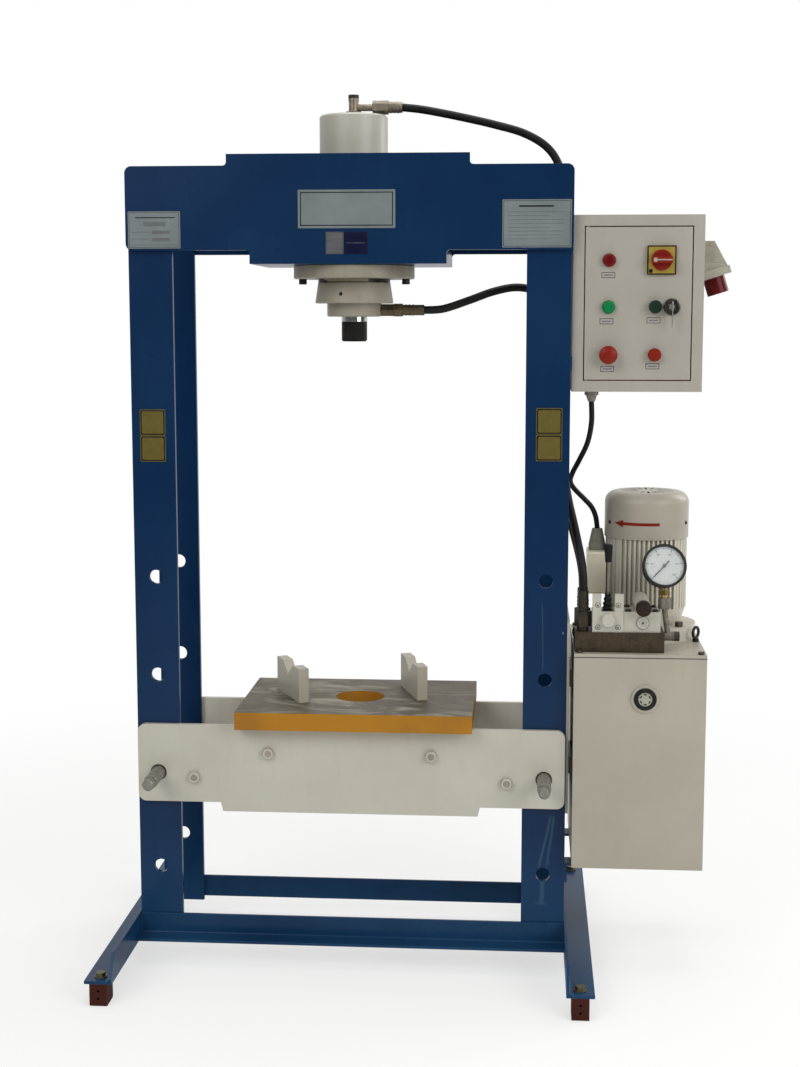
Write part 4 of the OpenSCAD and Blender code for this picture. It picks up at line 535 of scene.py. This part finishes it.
def keep(name, bm, skins, body="frame"):  # weld, smooth and put on a body
    bmesh.ops.remove_doubles(bm, verts=bm.verts, dist=0.001 * mm)
    bmesh.ops.recalc_face_normals(bm, faces=bm.faces)
    mesh = bpy.data.meshes.new(name)
    bm.to_mesh(mesh)
    bm.free()
    for skin in skins:
        mesh.materials.append(skin)
    mesh.polygons.foreach_set("use_smooth", [True] * len(mesh.polygons))
    mesh.set_sharp_from_angle(angle=math.radians(32))
    piece = bpy.data.objects.new(name, mesh)
    scene.collection.objects.link(piece)
    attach(piece, body)


def turn(bm, outline, place, segments=36, finish=0):  # (radius, height) pairs; a third number gives flat sides
    rings = []
    for radius, height, *sides in outline:
        if radius == 0:
            rings.append([bm.verts.new(place @ Vector((0, 0, height)))])
            continue
        ring = []
        for k in range(segments):
            angle = 2 * math.pi * k / segments
            reach = radius
            if sides:
                wedge = math.pi / sides[0]
                reach = radius / math.cos(angle % (2 * wedge) - wedge)
            ring.append(bm.verts.new(place @ Vector((reach * math.cos(angle), reach * math.sin(angle), height))))
        rings.append(ring)
    for low, high in zip(rings, rings[1:]):
        for k in range(segments):
            n = (k + 1) % segments
            corners = [low[k % len(low)], low[n % len(low)], high[n % len(high)], high[k % len(high)]]
            face = bm.faces.new(list(dict.fromkeys(corners)))
            face.material_index = finish


# A flat plate with round corners and a soft front edge
def slab(bm, place, low, high, corner, edge=0.2, finish=0):
    x0, y0, z0 = low
    x1, y1, z1 = high
    edge = min(edge, (z1 - z0) / 2)

    def outline(inset):
        bend = max(corner - inset, 0.05)
        points = []
        for cx, cy, start in ((x1, y1, 0), (x0, y1, 1), (x0, y0, 2), (x1, y0, 3)):
            cx += (-1 if cx == x1 else 1) * (inset + bend)
            cy += (-1 if cy == y1 else 1) * (inset + bend)
            for k in range(5):
                angle = math.pi / 2 * (start + k / 4)
                points.append((cx + bend * math.cos(angle), cy + bend * math.sin(angle)))
        return points

    rings = [[bm.verts.new(place @ Vector((x, y, z))) for x, y in outline(inset)]
             for inset, z in ((0, z0), (0, z1 - edge), (edge, z1))]
    for lower, upper in zip(rings, rings[1:]):
        for k in range(len(lower)):
            n = (k + 1) % len(lower)
            bm.faces.new((lower[k], lower[n], upper[n], upper[k])).material_index = finish
    bm.faces.new(rings[0][::-1]).material_index = finish
    bm.faces.new(rings[-1]).material_index = finish


# Printed films and foil: thin, flat and even, with a faint sheen
signFilm = plastic("printedSignFilm", "#6c7475", "#757d7e", rough=0.4, flowMm=60)
tagFilm = plastic("printedTagFilm", "#97938b", "#a09c94", rough=0.4, flowMm=60)
# The black and grey inks also serve as painted shade in screw recesses, round screw seats and in the plug cap
blackInkAndShade = plastic("blackInkAndPaintedShade", "#101012", "#18181a", rough=0.45)
greyInkAndShade = plastic("greyInkAndPaintedShade", "#5c5f63", "#686b6f", rough=0.45)
signBlue = plastic("printedBlueFilm", "#080b28", "#0b0f33", rough=0.35)
signSilver = bareMetal({**zincLook, "name": "brushedAluminiumFoil", "dark": "#5d5f64", "light": "#75777c",
                        "grain": (0.08, 1, 1), "rough": 0.32})
signYellow = plastic("printedYellowFilm", "#5a5024", "#635829", rough=0.4)

# Plain sign plates on the frame, without words. A rule is its start, end and height as shares, thickness and ink
signs = [
    {"name": "headSign", "x": (-109, 105), "z": (1677, 1760), "y": -144.5, "margin": 5, "line": 2.2, "corner": 1.5,
     "face": signFilm, "rules": []},
    {"name": "leftHeadSign", "x": (-487, -370), "z": (1634, 1715), "y": -144.5, "margin": 2.5, "line": 0.8, "corner": 2,
     "face": signFilm, "rules": [(0.14, 0.9, 0.83, 2.2, blackInkAndShade), (0.3, 0.72, 0.66, 9, greyInkAndShade),
                                 (0.06, 0.4, 0.44, 1.2, greyInkAndShade), (0.06, 0.4, 0.26, 1.2, greyInkAndShade),
                                 (0.46, 0.8, 0.44, 7, signSilver), (0.46, 0.8, 0.24, 7, signSilver),
                                 (0.06, 0.94, 0.1, 1.2, greyInkAndShade)]},
    {"name": "rightHeadSign", "x": (338, 488), "z": (1634, 1737), "y": -144.5, "margin": 2.5, "line": 0.9, "corner": 2,
     "face": signFilm, "rules": [(0.24, 0.74, 0.86, 3.4, blackInkAndShade)] + [
         (0.08, 0.9 - 0.2 * (i % 3 == 1), 0.74 - 0.08 * i, 1.1, greyInkAndShade) for i in range(8)]},
    {"name": "silverHeadSign", "x": (-48, -9), "z": (1621, 1669), "y": -144.5, "margin": 1.5, "line": 0.8, "corner": 1,
     "face": signSilver, "rules": []},
    {"name": "blueHeadSign", "x": (-7, 44), "z": (1621, 1669), "y": -144.5, "margin": 1.5, "line": 0.6, "corner": 1,
     "face": signBlue, "rules": [(0.1, 0.9, 0.5, 0.8, greyInkAndShade)]},
]
for side, x, z in (("left", -442.5, 1220), ("right", 444.5, 1226.5)):
    for row, half in (("Upper", 1), ("Lower", -1)):
        middle = z + half * 29.5
        signs.append({"name": side + row + "PostSign", "x": (x - 29, x + 29), "z": (middle - 29.3, middle + 29.3),
                      "y": -132.5, "margin": 1.8, "line": 2.6, "corner": 3, "face": signYellow, "rules": []})


def makeSign(look):  # backing, black border, face and rules, each a little prouder than the last
    bm = bmesh.new()
    wide, tall = look["x"][1] - look["x"][0], look["z"][1] - look["z"][0]
    place = seat(at(look["x"][0], look["y"], look["z"][0]))
    skins = [look["face"], blackInkAndShade]
    slab(bm, place, (0, 0, 0), (wide, tall, 0.8), look["corner"])
    inset = look["margin"]
    slab(bm, place, (inset, inset, 0.7), (wide - inset, tall - inset, 0.95), look["corner"], 0.05, 1)
    inset += look["line"]
    slab(bm, place, (inset, inset, 0.8), (wide - inset, tall - inset, 1.1), look["corner"], 0.05)
    for x0, x1, middle, thick, ink in look["rules"]:
        if ink not in skins:
            skins.append(ink)
        slab(bm, place, (x0 * wide, middle * tall - thick / 2, 1.0), (x1 * wide, middle * tall + thick / 2, 1.25), 0.3,
             0.05, skins.index(ink))
    keep(look["name"], bm, skins)


for look in signs:
    makeSign(look)
print("sign plates laid")


# Control box: bordered blank tags, switch border, knob marks, lock facets and the red seal in the door gap
boxLook = {
    "face": -120.5, "tags": [(569.5, 1575), (567, 1475), (570, 1371), (669, 1477), (668.5, 1377)],
    "tagSize": (29.5, 12.5), "tagRim": 1.1, "tagBar": (5, 2.4),
    "switch": (684, 1607), "plateProud": 8, "borderHalf": 31.5, "borderWide": 2.9, "cornerMark": (-27.5, -19.5),
    "knobProud": 32.3, "knobMarks": [((-12, -1.3), (21, 1.3), 0.6), ((-19, -4.5), (-11, 4.5), 2)],
    "lock": (708, 1506), "lockProud": 4,
    "lockProfile": [(18.2, -3.8, 12), (18.2, -0.4, 12), (15.5, 0.5, 12), (14.2, 0.2), (13.4, -0.6), (9.0, -0.3),
                    (8.0, 0.8), (6.6, 0.8), (6.4, -0.4), (18.2, -3.8, 12)],
    "seals": [((530, 1342.8), (741, 1347)), ((513.8, 1540), (519, 1672))], "sealDeep": 7, "sealThick": 3.5,
}


def dressBox(look):
    wide, tall = look["tagSize"]
    rim, (barInset, barThick) = look["tagRim"], look["tagBar"]
    for i, (x, z) in enumerate(look["tags"]):
        bm = bmesh.new()
        place = seat(at(x - wide / 2, look["face"], z - tall / 2))
        slab(bm, place, (0, 0, 0), (wide, tall, 0.5), 0.8, 0.1)
        slab(bm, place, (rim, rim, 0.4), (wide - rim, tall - rim, 0.7), 0.6, 0.05, 1)
        slab(bm, place, (barInset, (tall - barThick) / 2, 0.6), (wide - barInset, (tall + barThick) / 2, 0.8),
             0.4, 0.05, 2)
        keep("doorTag%d" % (i + 1), bm, [blackInkAndShade, tagFilm, greyInkAndShade], "door")
    x, z = look["switch"]
    half, (low, high) = look["borderHalf"], look["cornerMark"]
    bm = bmesh.new()
    place = seat(at(x, look["face"] - look["plateProud"], z))
    for k in range(4):
        turned = place @ Matrix.Rotation(k * math.pi / 2, 4, "Z")
        slab(bm, turned, (-half, half - look["borderWide"], 0), (half - 1.5, half, 0.5), 1.2, 0.1)
    slab(bm, place, (low, low, 0), (high, high, 0.5), 0.8, 0.1)
    keep("switchBorder", bm, [blackInkAndShade], "door")
    bm = bmesh.new()
    place = seat(at(x, look["face"] - look["knobProud"], z))
    for (x0, y0), (x1, y1), corner in look["knobMarks"]:
        slab(bm, place, (x0, y0, -0.1), (x1, y1, 0.3), corner, 0.1)
    keep("knobMark", bm, [tagFilm], "main_switch")
    bm = bmesh.new()
    x, z = look["lock"]
    turn(bm, look["lockProfile"], seat(at(x, look["face"] - look["lockProud"], z)), 48)
    keep("lockRing", bm, [lockChrome], "door")
    bm = bmesh.new()
    place = seat(at(0, look["face"] + look["sealDeep"], 0))
    for (x0, z0), (x1, z1) in look["seals"]:
        slab(bm, place, (x0, z0, 0), (x1, z1, look["sealThick"]), 1, 0.8)
    keep("doorSeal", bm, [redPlastic])


dressBox(boxLook)
print("control box dressed")


# Gauge: enamelled dial with plain numbers, brass neck, rim ring and a clear window
gaugeLook = {
    "centre": (703.83, -93.49, 928.95), "turn": 6, "tilt": -18, "dialRadius": 43.6, "dialDepth": 10, "sweep": 270,
    "steps": 50, "numbers": 5, "stepValue": 20, "numberSize": 6.5, "numberInset": 15, "neckTop": -49,
    "windowLift": 4.2, "windowThick": 1.0,
    "ringProfile": [(43.8, 15.2), (43.8, 17.4), (45.5, 18.2), (48.2, 18.0), (49.4, 16.8), (49.4, 8.5), (48.8, 7.8),
                    (43.8, 15.2)],
    "neckProfile": [(0, 1), (8.3, 1), (8.3, -3), (7.0, -3.6), (7.0, -5), (8.3, -5.5, 4), (8.3, -15, 4), (7.8, -16),
                    (8.2, -17), (8.2, -22), (0, -22)],
}


def clearWindow(look):  # float glass: almost unseen, but for a soft mirror of the room
    mat, tree, shader = newMaterial(look)
    place = add(tree, "TexCoord").outputs["Object"]
    film = add(tree, "TexNoise", {"Scale": 1 / (look["filmMm"] * mm), "Detail": 2.0}, {"Vector": place}).outputs[0]
    gloss = add(tree, "MapRange", {1: 0.3, 2: 0.7, 3: 0.02, 4: 0.12}, {0: film}).outputs[0]
    feed(tree, shader, {"Base Color": rgb(look["tint"]), "Alpha": look["alpha"], "IOR": look["ior"]},
         {"Roughness": gloss})
    return mat


windowGlass = clearWindow({"name": "gaugeFloatGlass", "tint": "#c8d0d2", "alpha": 0.16, "filmMm": 25, "ior": 1.52})
dialEnamel = plastic("stovedDialEnamel", "#d2d4d0", "#dcdeda", rough=0.3)


def makeGauge(look):
    frameTurn = (Matrix.Translation(at(*look["centre"])) @ Matrix.Rotation(math.radians(look["turn"]), 4, "Z")
                 @ Matrix.Rotation(math.radians(look["tilt"]), 4, "X"))
    face = frameTurn @ Matrix.Rotation(math.pi / 2, 4, "X") @ Matrix.Scale(mm, 4)
    radius, depth = look["dialRadius"], look["dialDepth"]
    bm = bmesh.new()
    turn(bm, [(2.2, depth), (2.2, depth + 0.5), (radius, depth + 0.5), (radius, depth), (2.2, depth)], face, 64)
    for k in range(look["steps"] + 1):
        angle = math.radians(look["sweep"] * (0.5 - k / look["steps"]))
        major = k % (look["steps"] // look["numbers"]) == 0
        middle = k % 5 == 0
        spin = face @ Matrix.Rotation(angle, 4, "Z")
        long, thick = (7, 1.4) if major else (5, 0.8) if middle else (3, 0.5)
        slab(bm, spin, (-thick / 2, radius - 2 - long, depth + 0.5), (thick / 2, radius - 2, depth + 0.7), 0.1, 0.05, 1)
    keep("gaugeDial", bm, [dialEnamel, blackInkAndShade])
    reach = radius - look["numberInset"]
    for k in range(look["numbers"] + 1):
        angle = math.radians(look["sweep"] * (0.5 - k / look["numbers"]))
        text = bpy.data.curves.new("dialNumber%d" % k, "FONT")
        text.body = str(k * look["stepValue"])
        text.align_x, text.align_y = "CENTER", "CENTER"
        text.size, text.extrude = look["numberSize"], 0.05
        text.materials.append(blackInkAndShade)
        number = bpy.data.objects.new("dialNumber%d" % k, text)
        scene.collection.objects.link(number)
        spot = Vector((-reach * math.sin(angle), reach * math.cos(angle), depth + 0.6))
        number.matrix_world = face @ Matrix.Translation(spot)
        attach(number, "frame")
    bm = bmesh.new()
    low = depth + look["windowLift"]
    high = low + look["windowThick"]
    turn(bm, [(0, low), (radius + 0.2, low), (radius + 0.2, high), (0, high)], face, 64)
    keep("gaugeWindow", bm, [windowGlass])
    bm = bmesh.new()
    turn(bm, look["ringProfile"], face, 72)
    keep("gaugeRing", bm, [blackSteel])
    bm = bmesh.new()
    neck = frameTurn @ Matrix.Translation((0, 0, look["neckTop"] * mm)) @ Matrix.Scale(mm, 4)
    turn(bm, look["neckProfile"], neck, 40)
    keep("gaugeNeck", bm, [brass])


makeGauge(gaugeLook)
print("gauge made")


# Valve group and tank: cross and socket screws, plug cap, lever foot, spoked sight disc, lid gasket
unitLook = {
    "plateScrews": [(557, 848), (602, 848), (557, 798), (602, 798)], "plateFace": -141, "plateScrewWide": 10,
    "reliefScrews": [(625, -128), (685, -128), (625, -70), (685, -70)], "reliefFloor": 825,
    "reliefScrewSize": (13.4, 12.5, 7), "plug": (656.64, -143, 809),
    "plugProfile": [(0, -0.5), (13.2, -0.5), (13.2, 0.6), (12.2, 1.3), (9, 1.3), (8.6, 0.3), (6.4, 0.3), (6.2, 2.0),
                    (3.1, 2.0)],
    "plugSocket": [(3.1, 2.0), (3.0, 1.8, 6), (3.0, 0.2, 6), (0, 0.1)],
    "plugSeat": [(12.8, -0.4), (14.1, -0.4), (14.1, 0.2), (12.8, 0.2), (12.8, -0.4)],
    "bootFoot": (579.5, -117, 833), "bootProfile": [(0, -0.2), (14.2, -0.2), (14.2, 0.4), (13.0, 0.7), (9.6, 1.6)],
    "bootDome": 8.12, "sight": (663.22, -171, 642.04), "sightSlots": 6,
    "sightProfile": [(0, 0), (15.8, 0), (15.8, 0.8), (14.6, 1.3), (13.6, 0.9), (0, 1.1)],
    "tankX": (505, 798), "tankY": (-165, 200), "lidBottom": 734, "gasketProud": 0.6, "gasketHalf": 0.7,
}


def socketScrew(bm, place, width, tall, socket):
    half = width / 2
    turn(bm, [(0, 0), (half, 0), (half, tall - 0.12 * width), (half - 0.05 * width, tall - 0.03 * width),
              (half - 0.14 * width, tall), (socket / 2 + 0.3, tall), (socket / 2, tall - 0.3, 6),
              (socket / 2, 0.4 * tall, 6), (0, 0.34 * tall)], place)


def crossScrew(bm, place, width):  # a low dome with a dark cross and a dark ring round its seat, both painted shade of the recess and the countersink
    half = width / 2
    inner, outer = 0.95 * half, 1.2 * half
    turn(bm, [(0, 0), (half, 0), (half, 0.1 * width), (half * 0.8, 0.22 * width), (half * 0.45, 0.28 * width),
              (0, 0.3 * width)], place, 28)
    turn(bm, [(inner, 0), (outer, 0), (outer, 0.2), (inner, 0.2), (inner, 0)], place, 28, 1)
    for k in (0, 1):
        spin = place @ Matrix.Rotation(0.5 + k * math.pi / 2, 4, "Z")
        slab(bm, spin, (-0.3 * width, -0.06 * width, 0.2 * width), (0.3 * width, 0.06 * width, 0.31 * width),
             0.2, 0.05, 1)


def dressUnit(look):
    bm = bmesh.new()
    for x, z in look["plateScrews"]:
        crossScrew(bm, seat(at(x, look["plateFace"], z)), look["plateScrewWide"])
    keep("valvePlateScrews", bm, [whiteCoat, blackInkAndShade])
    bm = bmesh.new()
    for x, y in look["reliefScrews"]:
        socketScrew(bm, seat(at(x, y, look["reliefFloor"]), up), *look["reliefScrewSize"])
    keep("reliefScrews", bm, [blackSteel])
    bm = bmesh.new()
    place = seat(at(*look["plug"]))
    turn(bm, look["plugProfile"], place, 48)
    # The dark socket and the dark ring round the cap's seat are painted shade
    turn(bm, look["plugSocket"], place, 48, 1)
    turn(bm, look["plugSeat"], place, 48, 1)
    keep("reliefPlugCap", bm, [whiteCoat, greyInkAndShade])
    bm = bmesh.new()
    ball = look["bootDome"]
    dome = [(ball * math.cos(math.radians(d)), ball * math.sin(math.radians(d))) for d in range(15, 90, 15)]
    turn(bm, [*look["bootProfile"], *dome, (0, ball)], seat(at(*look["bootFoot"]), up), 40)
    keep("bootFoot", bm, [hoseRubber])
    bm = bmesh.new()
    place = seat(at(*look["sight"]))
    turn(bm, look["sightProfile"], place, 48)
    for k in range(look["sightSlots"]):
        spin = place @ Matrix.Rotation(2 * math.pi * k / look["sightSlots"], 4, "Z")
        slab(bm, spin, (-3.2, 9.8, 0.7), (3.2, 12.4, 1.4), 1.0, 0.1, 1)
    keep("sightDisc", bm, [hoodPlastic, blackInkAndShade])
    bm = bmesh.new()
    (x0, x1), (y0, y1) = look["tankX"], look["tankY"]
    proud, half = look["gasketProud"], look["gasketHalf"]
    flat = Matrix.Translation(at(0, 0, look["lidBottom"])) @ Matrix.Scale(mm, 4)
    slab(bm, flat, (x0 - proud, y0 - proud, -half), (x1 + proud, y1 + proud, half), 2, 0.3)
    keep("lidGasket", bm, [hoseRubber])


dressUnit(unitLook)


# Fan cover: a plain turning arrow bent round it, its ends and screws in degrees from the front
coverLook = {
    "motor": (676, 75), "radius": 97, "arrow": (-52, 14), "arrowZ": 1014.5, "headLong": 15, "headHalf": 8.5,
    "shaftHalf": 3.4, "tipHalf": 0.15, "thick": 0.35, "screws": (-64, 64, 116, -116), "screwZ": 1014, "screwWide": 9,
}


def coverPoint(look, angle, z, lift):
    x, y = look["motor"]
    reach = look["radius"] + lift
    return at(x + reach * math.sin(math.radians(angle)), y - reach * math.cos(math.radians(angle)), z)


def dressMotor(look):
    low, high = look["arrow"]
    steps = [low + (high - low) * k / 40 for k in range(41)]
    headEnd = low + look["headLong"]
    thick = look["thick"]
    bm = bmesh.new()
    rows = []
    for angle in sorted(steps + [headEnd, headEnd + 0.01]):
        half = look["headHalf"] * (angle - low) / look["headLong"] if angle <= headEnd else look["shaftHalf"]
        half = max(half, look["tipHalf"])
        rows.append([bm.verts.new(coverPoint(look, angle, look["arrowZ"] + dz, lift))
                     for dz, lift in ((-half, 0), (-half, thick), (half, thick), (half, 0))])
    for a, b in zip(rows, rows[1:]):
        for k in range(4):
            bm.faces.new((a[k], a[(k + 1) % 4], b[(k + 1) % 4], b[k]))
    bm.faces.new(rows[0])
    bm.faces.new(rows[-1][::-1])
    keep("turningArrow", bm, [redPlastic])
    bm = bmesh.new()
    z = look["screwZ"]
    for angle in look["screws"]:
        out = coverPoint(look, angle, z, 1) - coverPoint(look, angle, z, 0)
        crossScrew(bm, seat(coverPoint(look, angle, z, -0.3), out.normalized()), look["screwWide"])
    keep("coverScrews", bm, [blackSteel, blackInkAndShade])


dressMotor(coverLook)
print("power unit dressed")


# Inlet hood: moulded ribs across its front and rear cheeks, shorter as the hood slopes back
hoodLook = {
    "box": 777, "foot": 1562, "cheeks": (-78, -3), "ribs": 8, "ribStart": 42, "ribStep": 5.4, "ribHigh": 1.6,
    "ribInset": 2, "reach": 52.5, "slopeFoot": 36, "slope": 29 / 52,
}


def dressHood(look):
    bm = bmesh.new()
    half = look["ribHigh"] / 2
    for y, along, sign in ((look["cheeks"][0], front, 1), (look["cheeks"][1], -front, -1)):
        for k in range(look["ribs"]):
            rise = look["ribStart"] + k * look["ribStep"]
            reach = look["reach"] - (rise - look["slopeFoot"]) * look["slope"]
            place = seat(at(look["box"], y, look["foot"] + rise), along)
            x0, x1 = sorted((sign * look["ribInset"], sign * reach))
            slab(bm, place, (x0, -half, -0.2), (x1, half, 0.7), 0.6, 0.3)
    keep("hoodRibs", bm, [hoodPlastic])


dressHood(hoodLook)
print("hood ribbed")


# Frame: dished bed bolts with a painted highlight on their rims, dark rings at the pin holes as painted shade, weld
# beads at the feet, crimped ferrules, terminal gasket
frameLook = {
    "bedBolts": [(-357, 438), (-186, 497), (186, 497), (357, 438)], "boltFace": -154.9,
    "boltRim": [(0, -0.3), (10.9, -0.3), (10.9, 0.9), (10.3, 1.7), (9.4, 1.9), (8.6, 1.4), (8.3, 0.4)],
    "boltDish": [(8.3, 0.4), (0, 0.5)], "pinHoles": [(-441, 447), (441, 447)], "bedFace": -144.5,
    "pinShadeRing": [(16.2, 0), (16.2, 0.2), (18.6, 0.2), (18.8, 0), (16.2, 0)],
    "beads": [(-489.6, -139.4, 62), (489.6, -139.4, 62)], "beadLong": 46, "beadRadius": 2.6, "beadStep": 4.5,
    "beadRipple": 0.14, "crimpRows": 3, "crimpStep": 8,
    "crimps": [((82, 0, 1951), (1, 0, 0), 12), ((116, 0, 1500), (1, 0, 0), 12), ((525, -119, 836), (0, 0, 1), 12),
               ((525, -77, 836), (0, 0, 1), 12)],
    "portNut": (89.5, 0, 1500),
    "nutProfile": [(11, 0), (13.6, 0), (14.5, 1.2, 6), (14.5, 21, 6), (13.6, 22.2), (11, 22.2), (11, 0)],
    "gasket": ((581, 24, 845), (584, 126, 945)),
}
# Paler coat for the bed bolts' rims: a painted highlight along the rolled rim
highlightWhiteCoat = coatedSteel({**whiteLook, "name": "paintedHighlightPowderCoat", "dark": "#bfbcb0", "light": "#c9c6ba"})
# Pressed cork: dull warm brown
gasketCork = plastic("pressedCorkGasket", "#7a4a22", "#8a572a", rough=0.6)


def dressFrame(look):
    bm = bmesh.new()
    for x, z in look["bedBolts"]:
        place = seat(at(x, look["boltFace"], z))
        turn(bm, look["boltRim"], place, 40)
        turn(bm, look["boltDish"], place, 40, 1)
    keep("bedBoltRims", bm, [highlightWhiteCoat, oilAndShadeWhite])
    bm = bmesh.new()
    # Dark rings round the pin holes are painted shade of the clearance gap
    for x, z in look["pinHoles"]:
        turn(bm, look["pinShadeRing"], seat(at(x, look["bedFace"], z)), 48)
    keep("pinHoleShadeRings", bm, [manifoldSteel])
    bm = bmesh.new()
    step, long = look["beadStep"], look["beadLong"]
    ripples = [(look["beadRadius"] * (1 + look["beadRipple"] * math.sin(math.pi * k / 3)), k * step / 6)
               for k in range(1, int(long / step * 6))]
    for x, y, z in look["beads"]:
        for side in (1, -1):
            turn(bm, [(0, 0), *ripples, (0, long)], seat(at(x, side * y, z), up), 12)
    keep("weldBeads", bm, [frameBlue])
    bm = bmesh.new()
    for spot, along, radius in look["crimps"]:
        inner, outer = radius - 0.5, radius + 0.8
        for k in range(look["crimpRows"]):
            place = seat(at(*spot), Vector(along)) @ Matrix.Translation((0, 0, look["crimpStep"] * k))
            turn(bm, [(inner, 0), (outer, 0.6), (outer, 4.4), (inner, 5), (inner, 0)], place, 32)
    turn(bm, look["nutProfile"], seat(at(*look["portNut"]), Vector((1, 0, 0))), 48)
    keep("hoseCrimps", bm, [fittingSteel])
    bm = bmesh.new()
    low, high = look["gasket"]
    slab(bm, Matrix.Translation(at(0, 0, 0)) @ Matrix.Scale(mm, 4), low, high, 2, 0.3)
    keep("terminalGasket", bm, [gasketCork])


dressFrame(frameLook)
print("frame dressed")
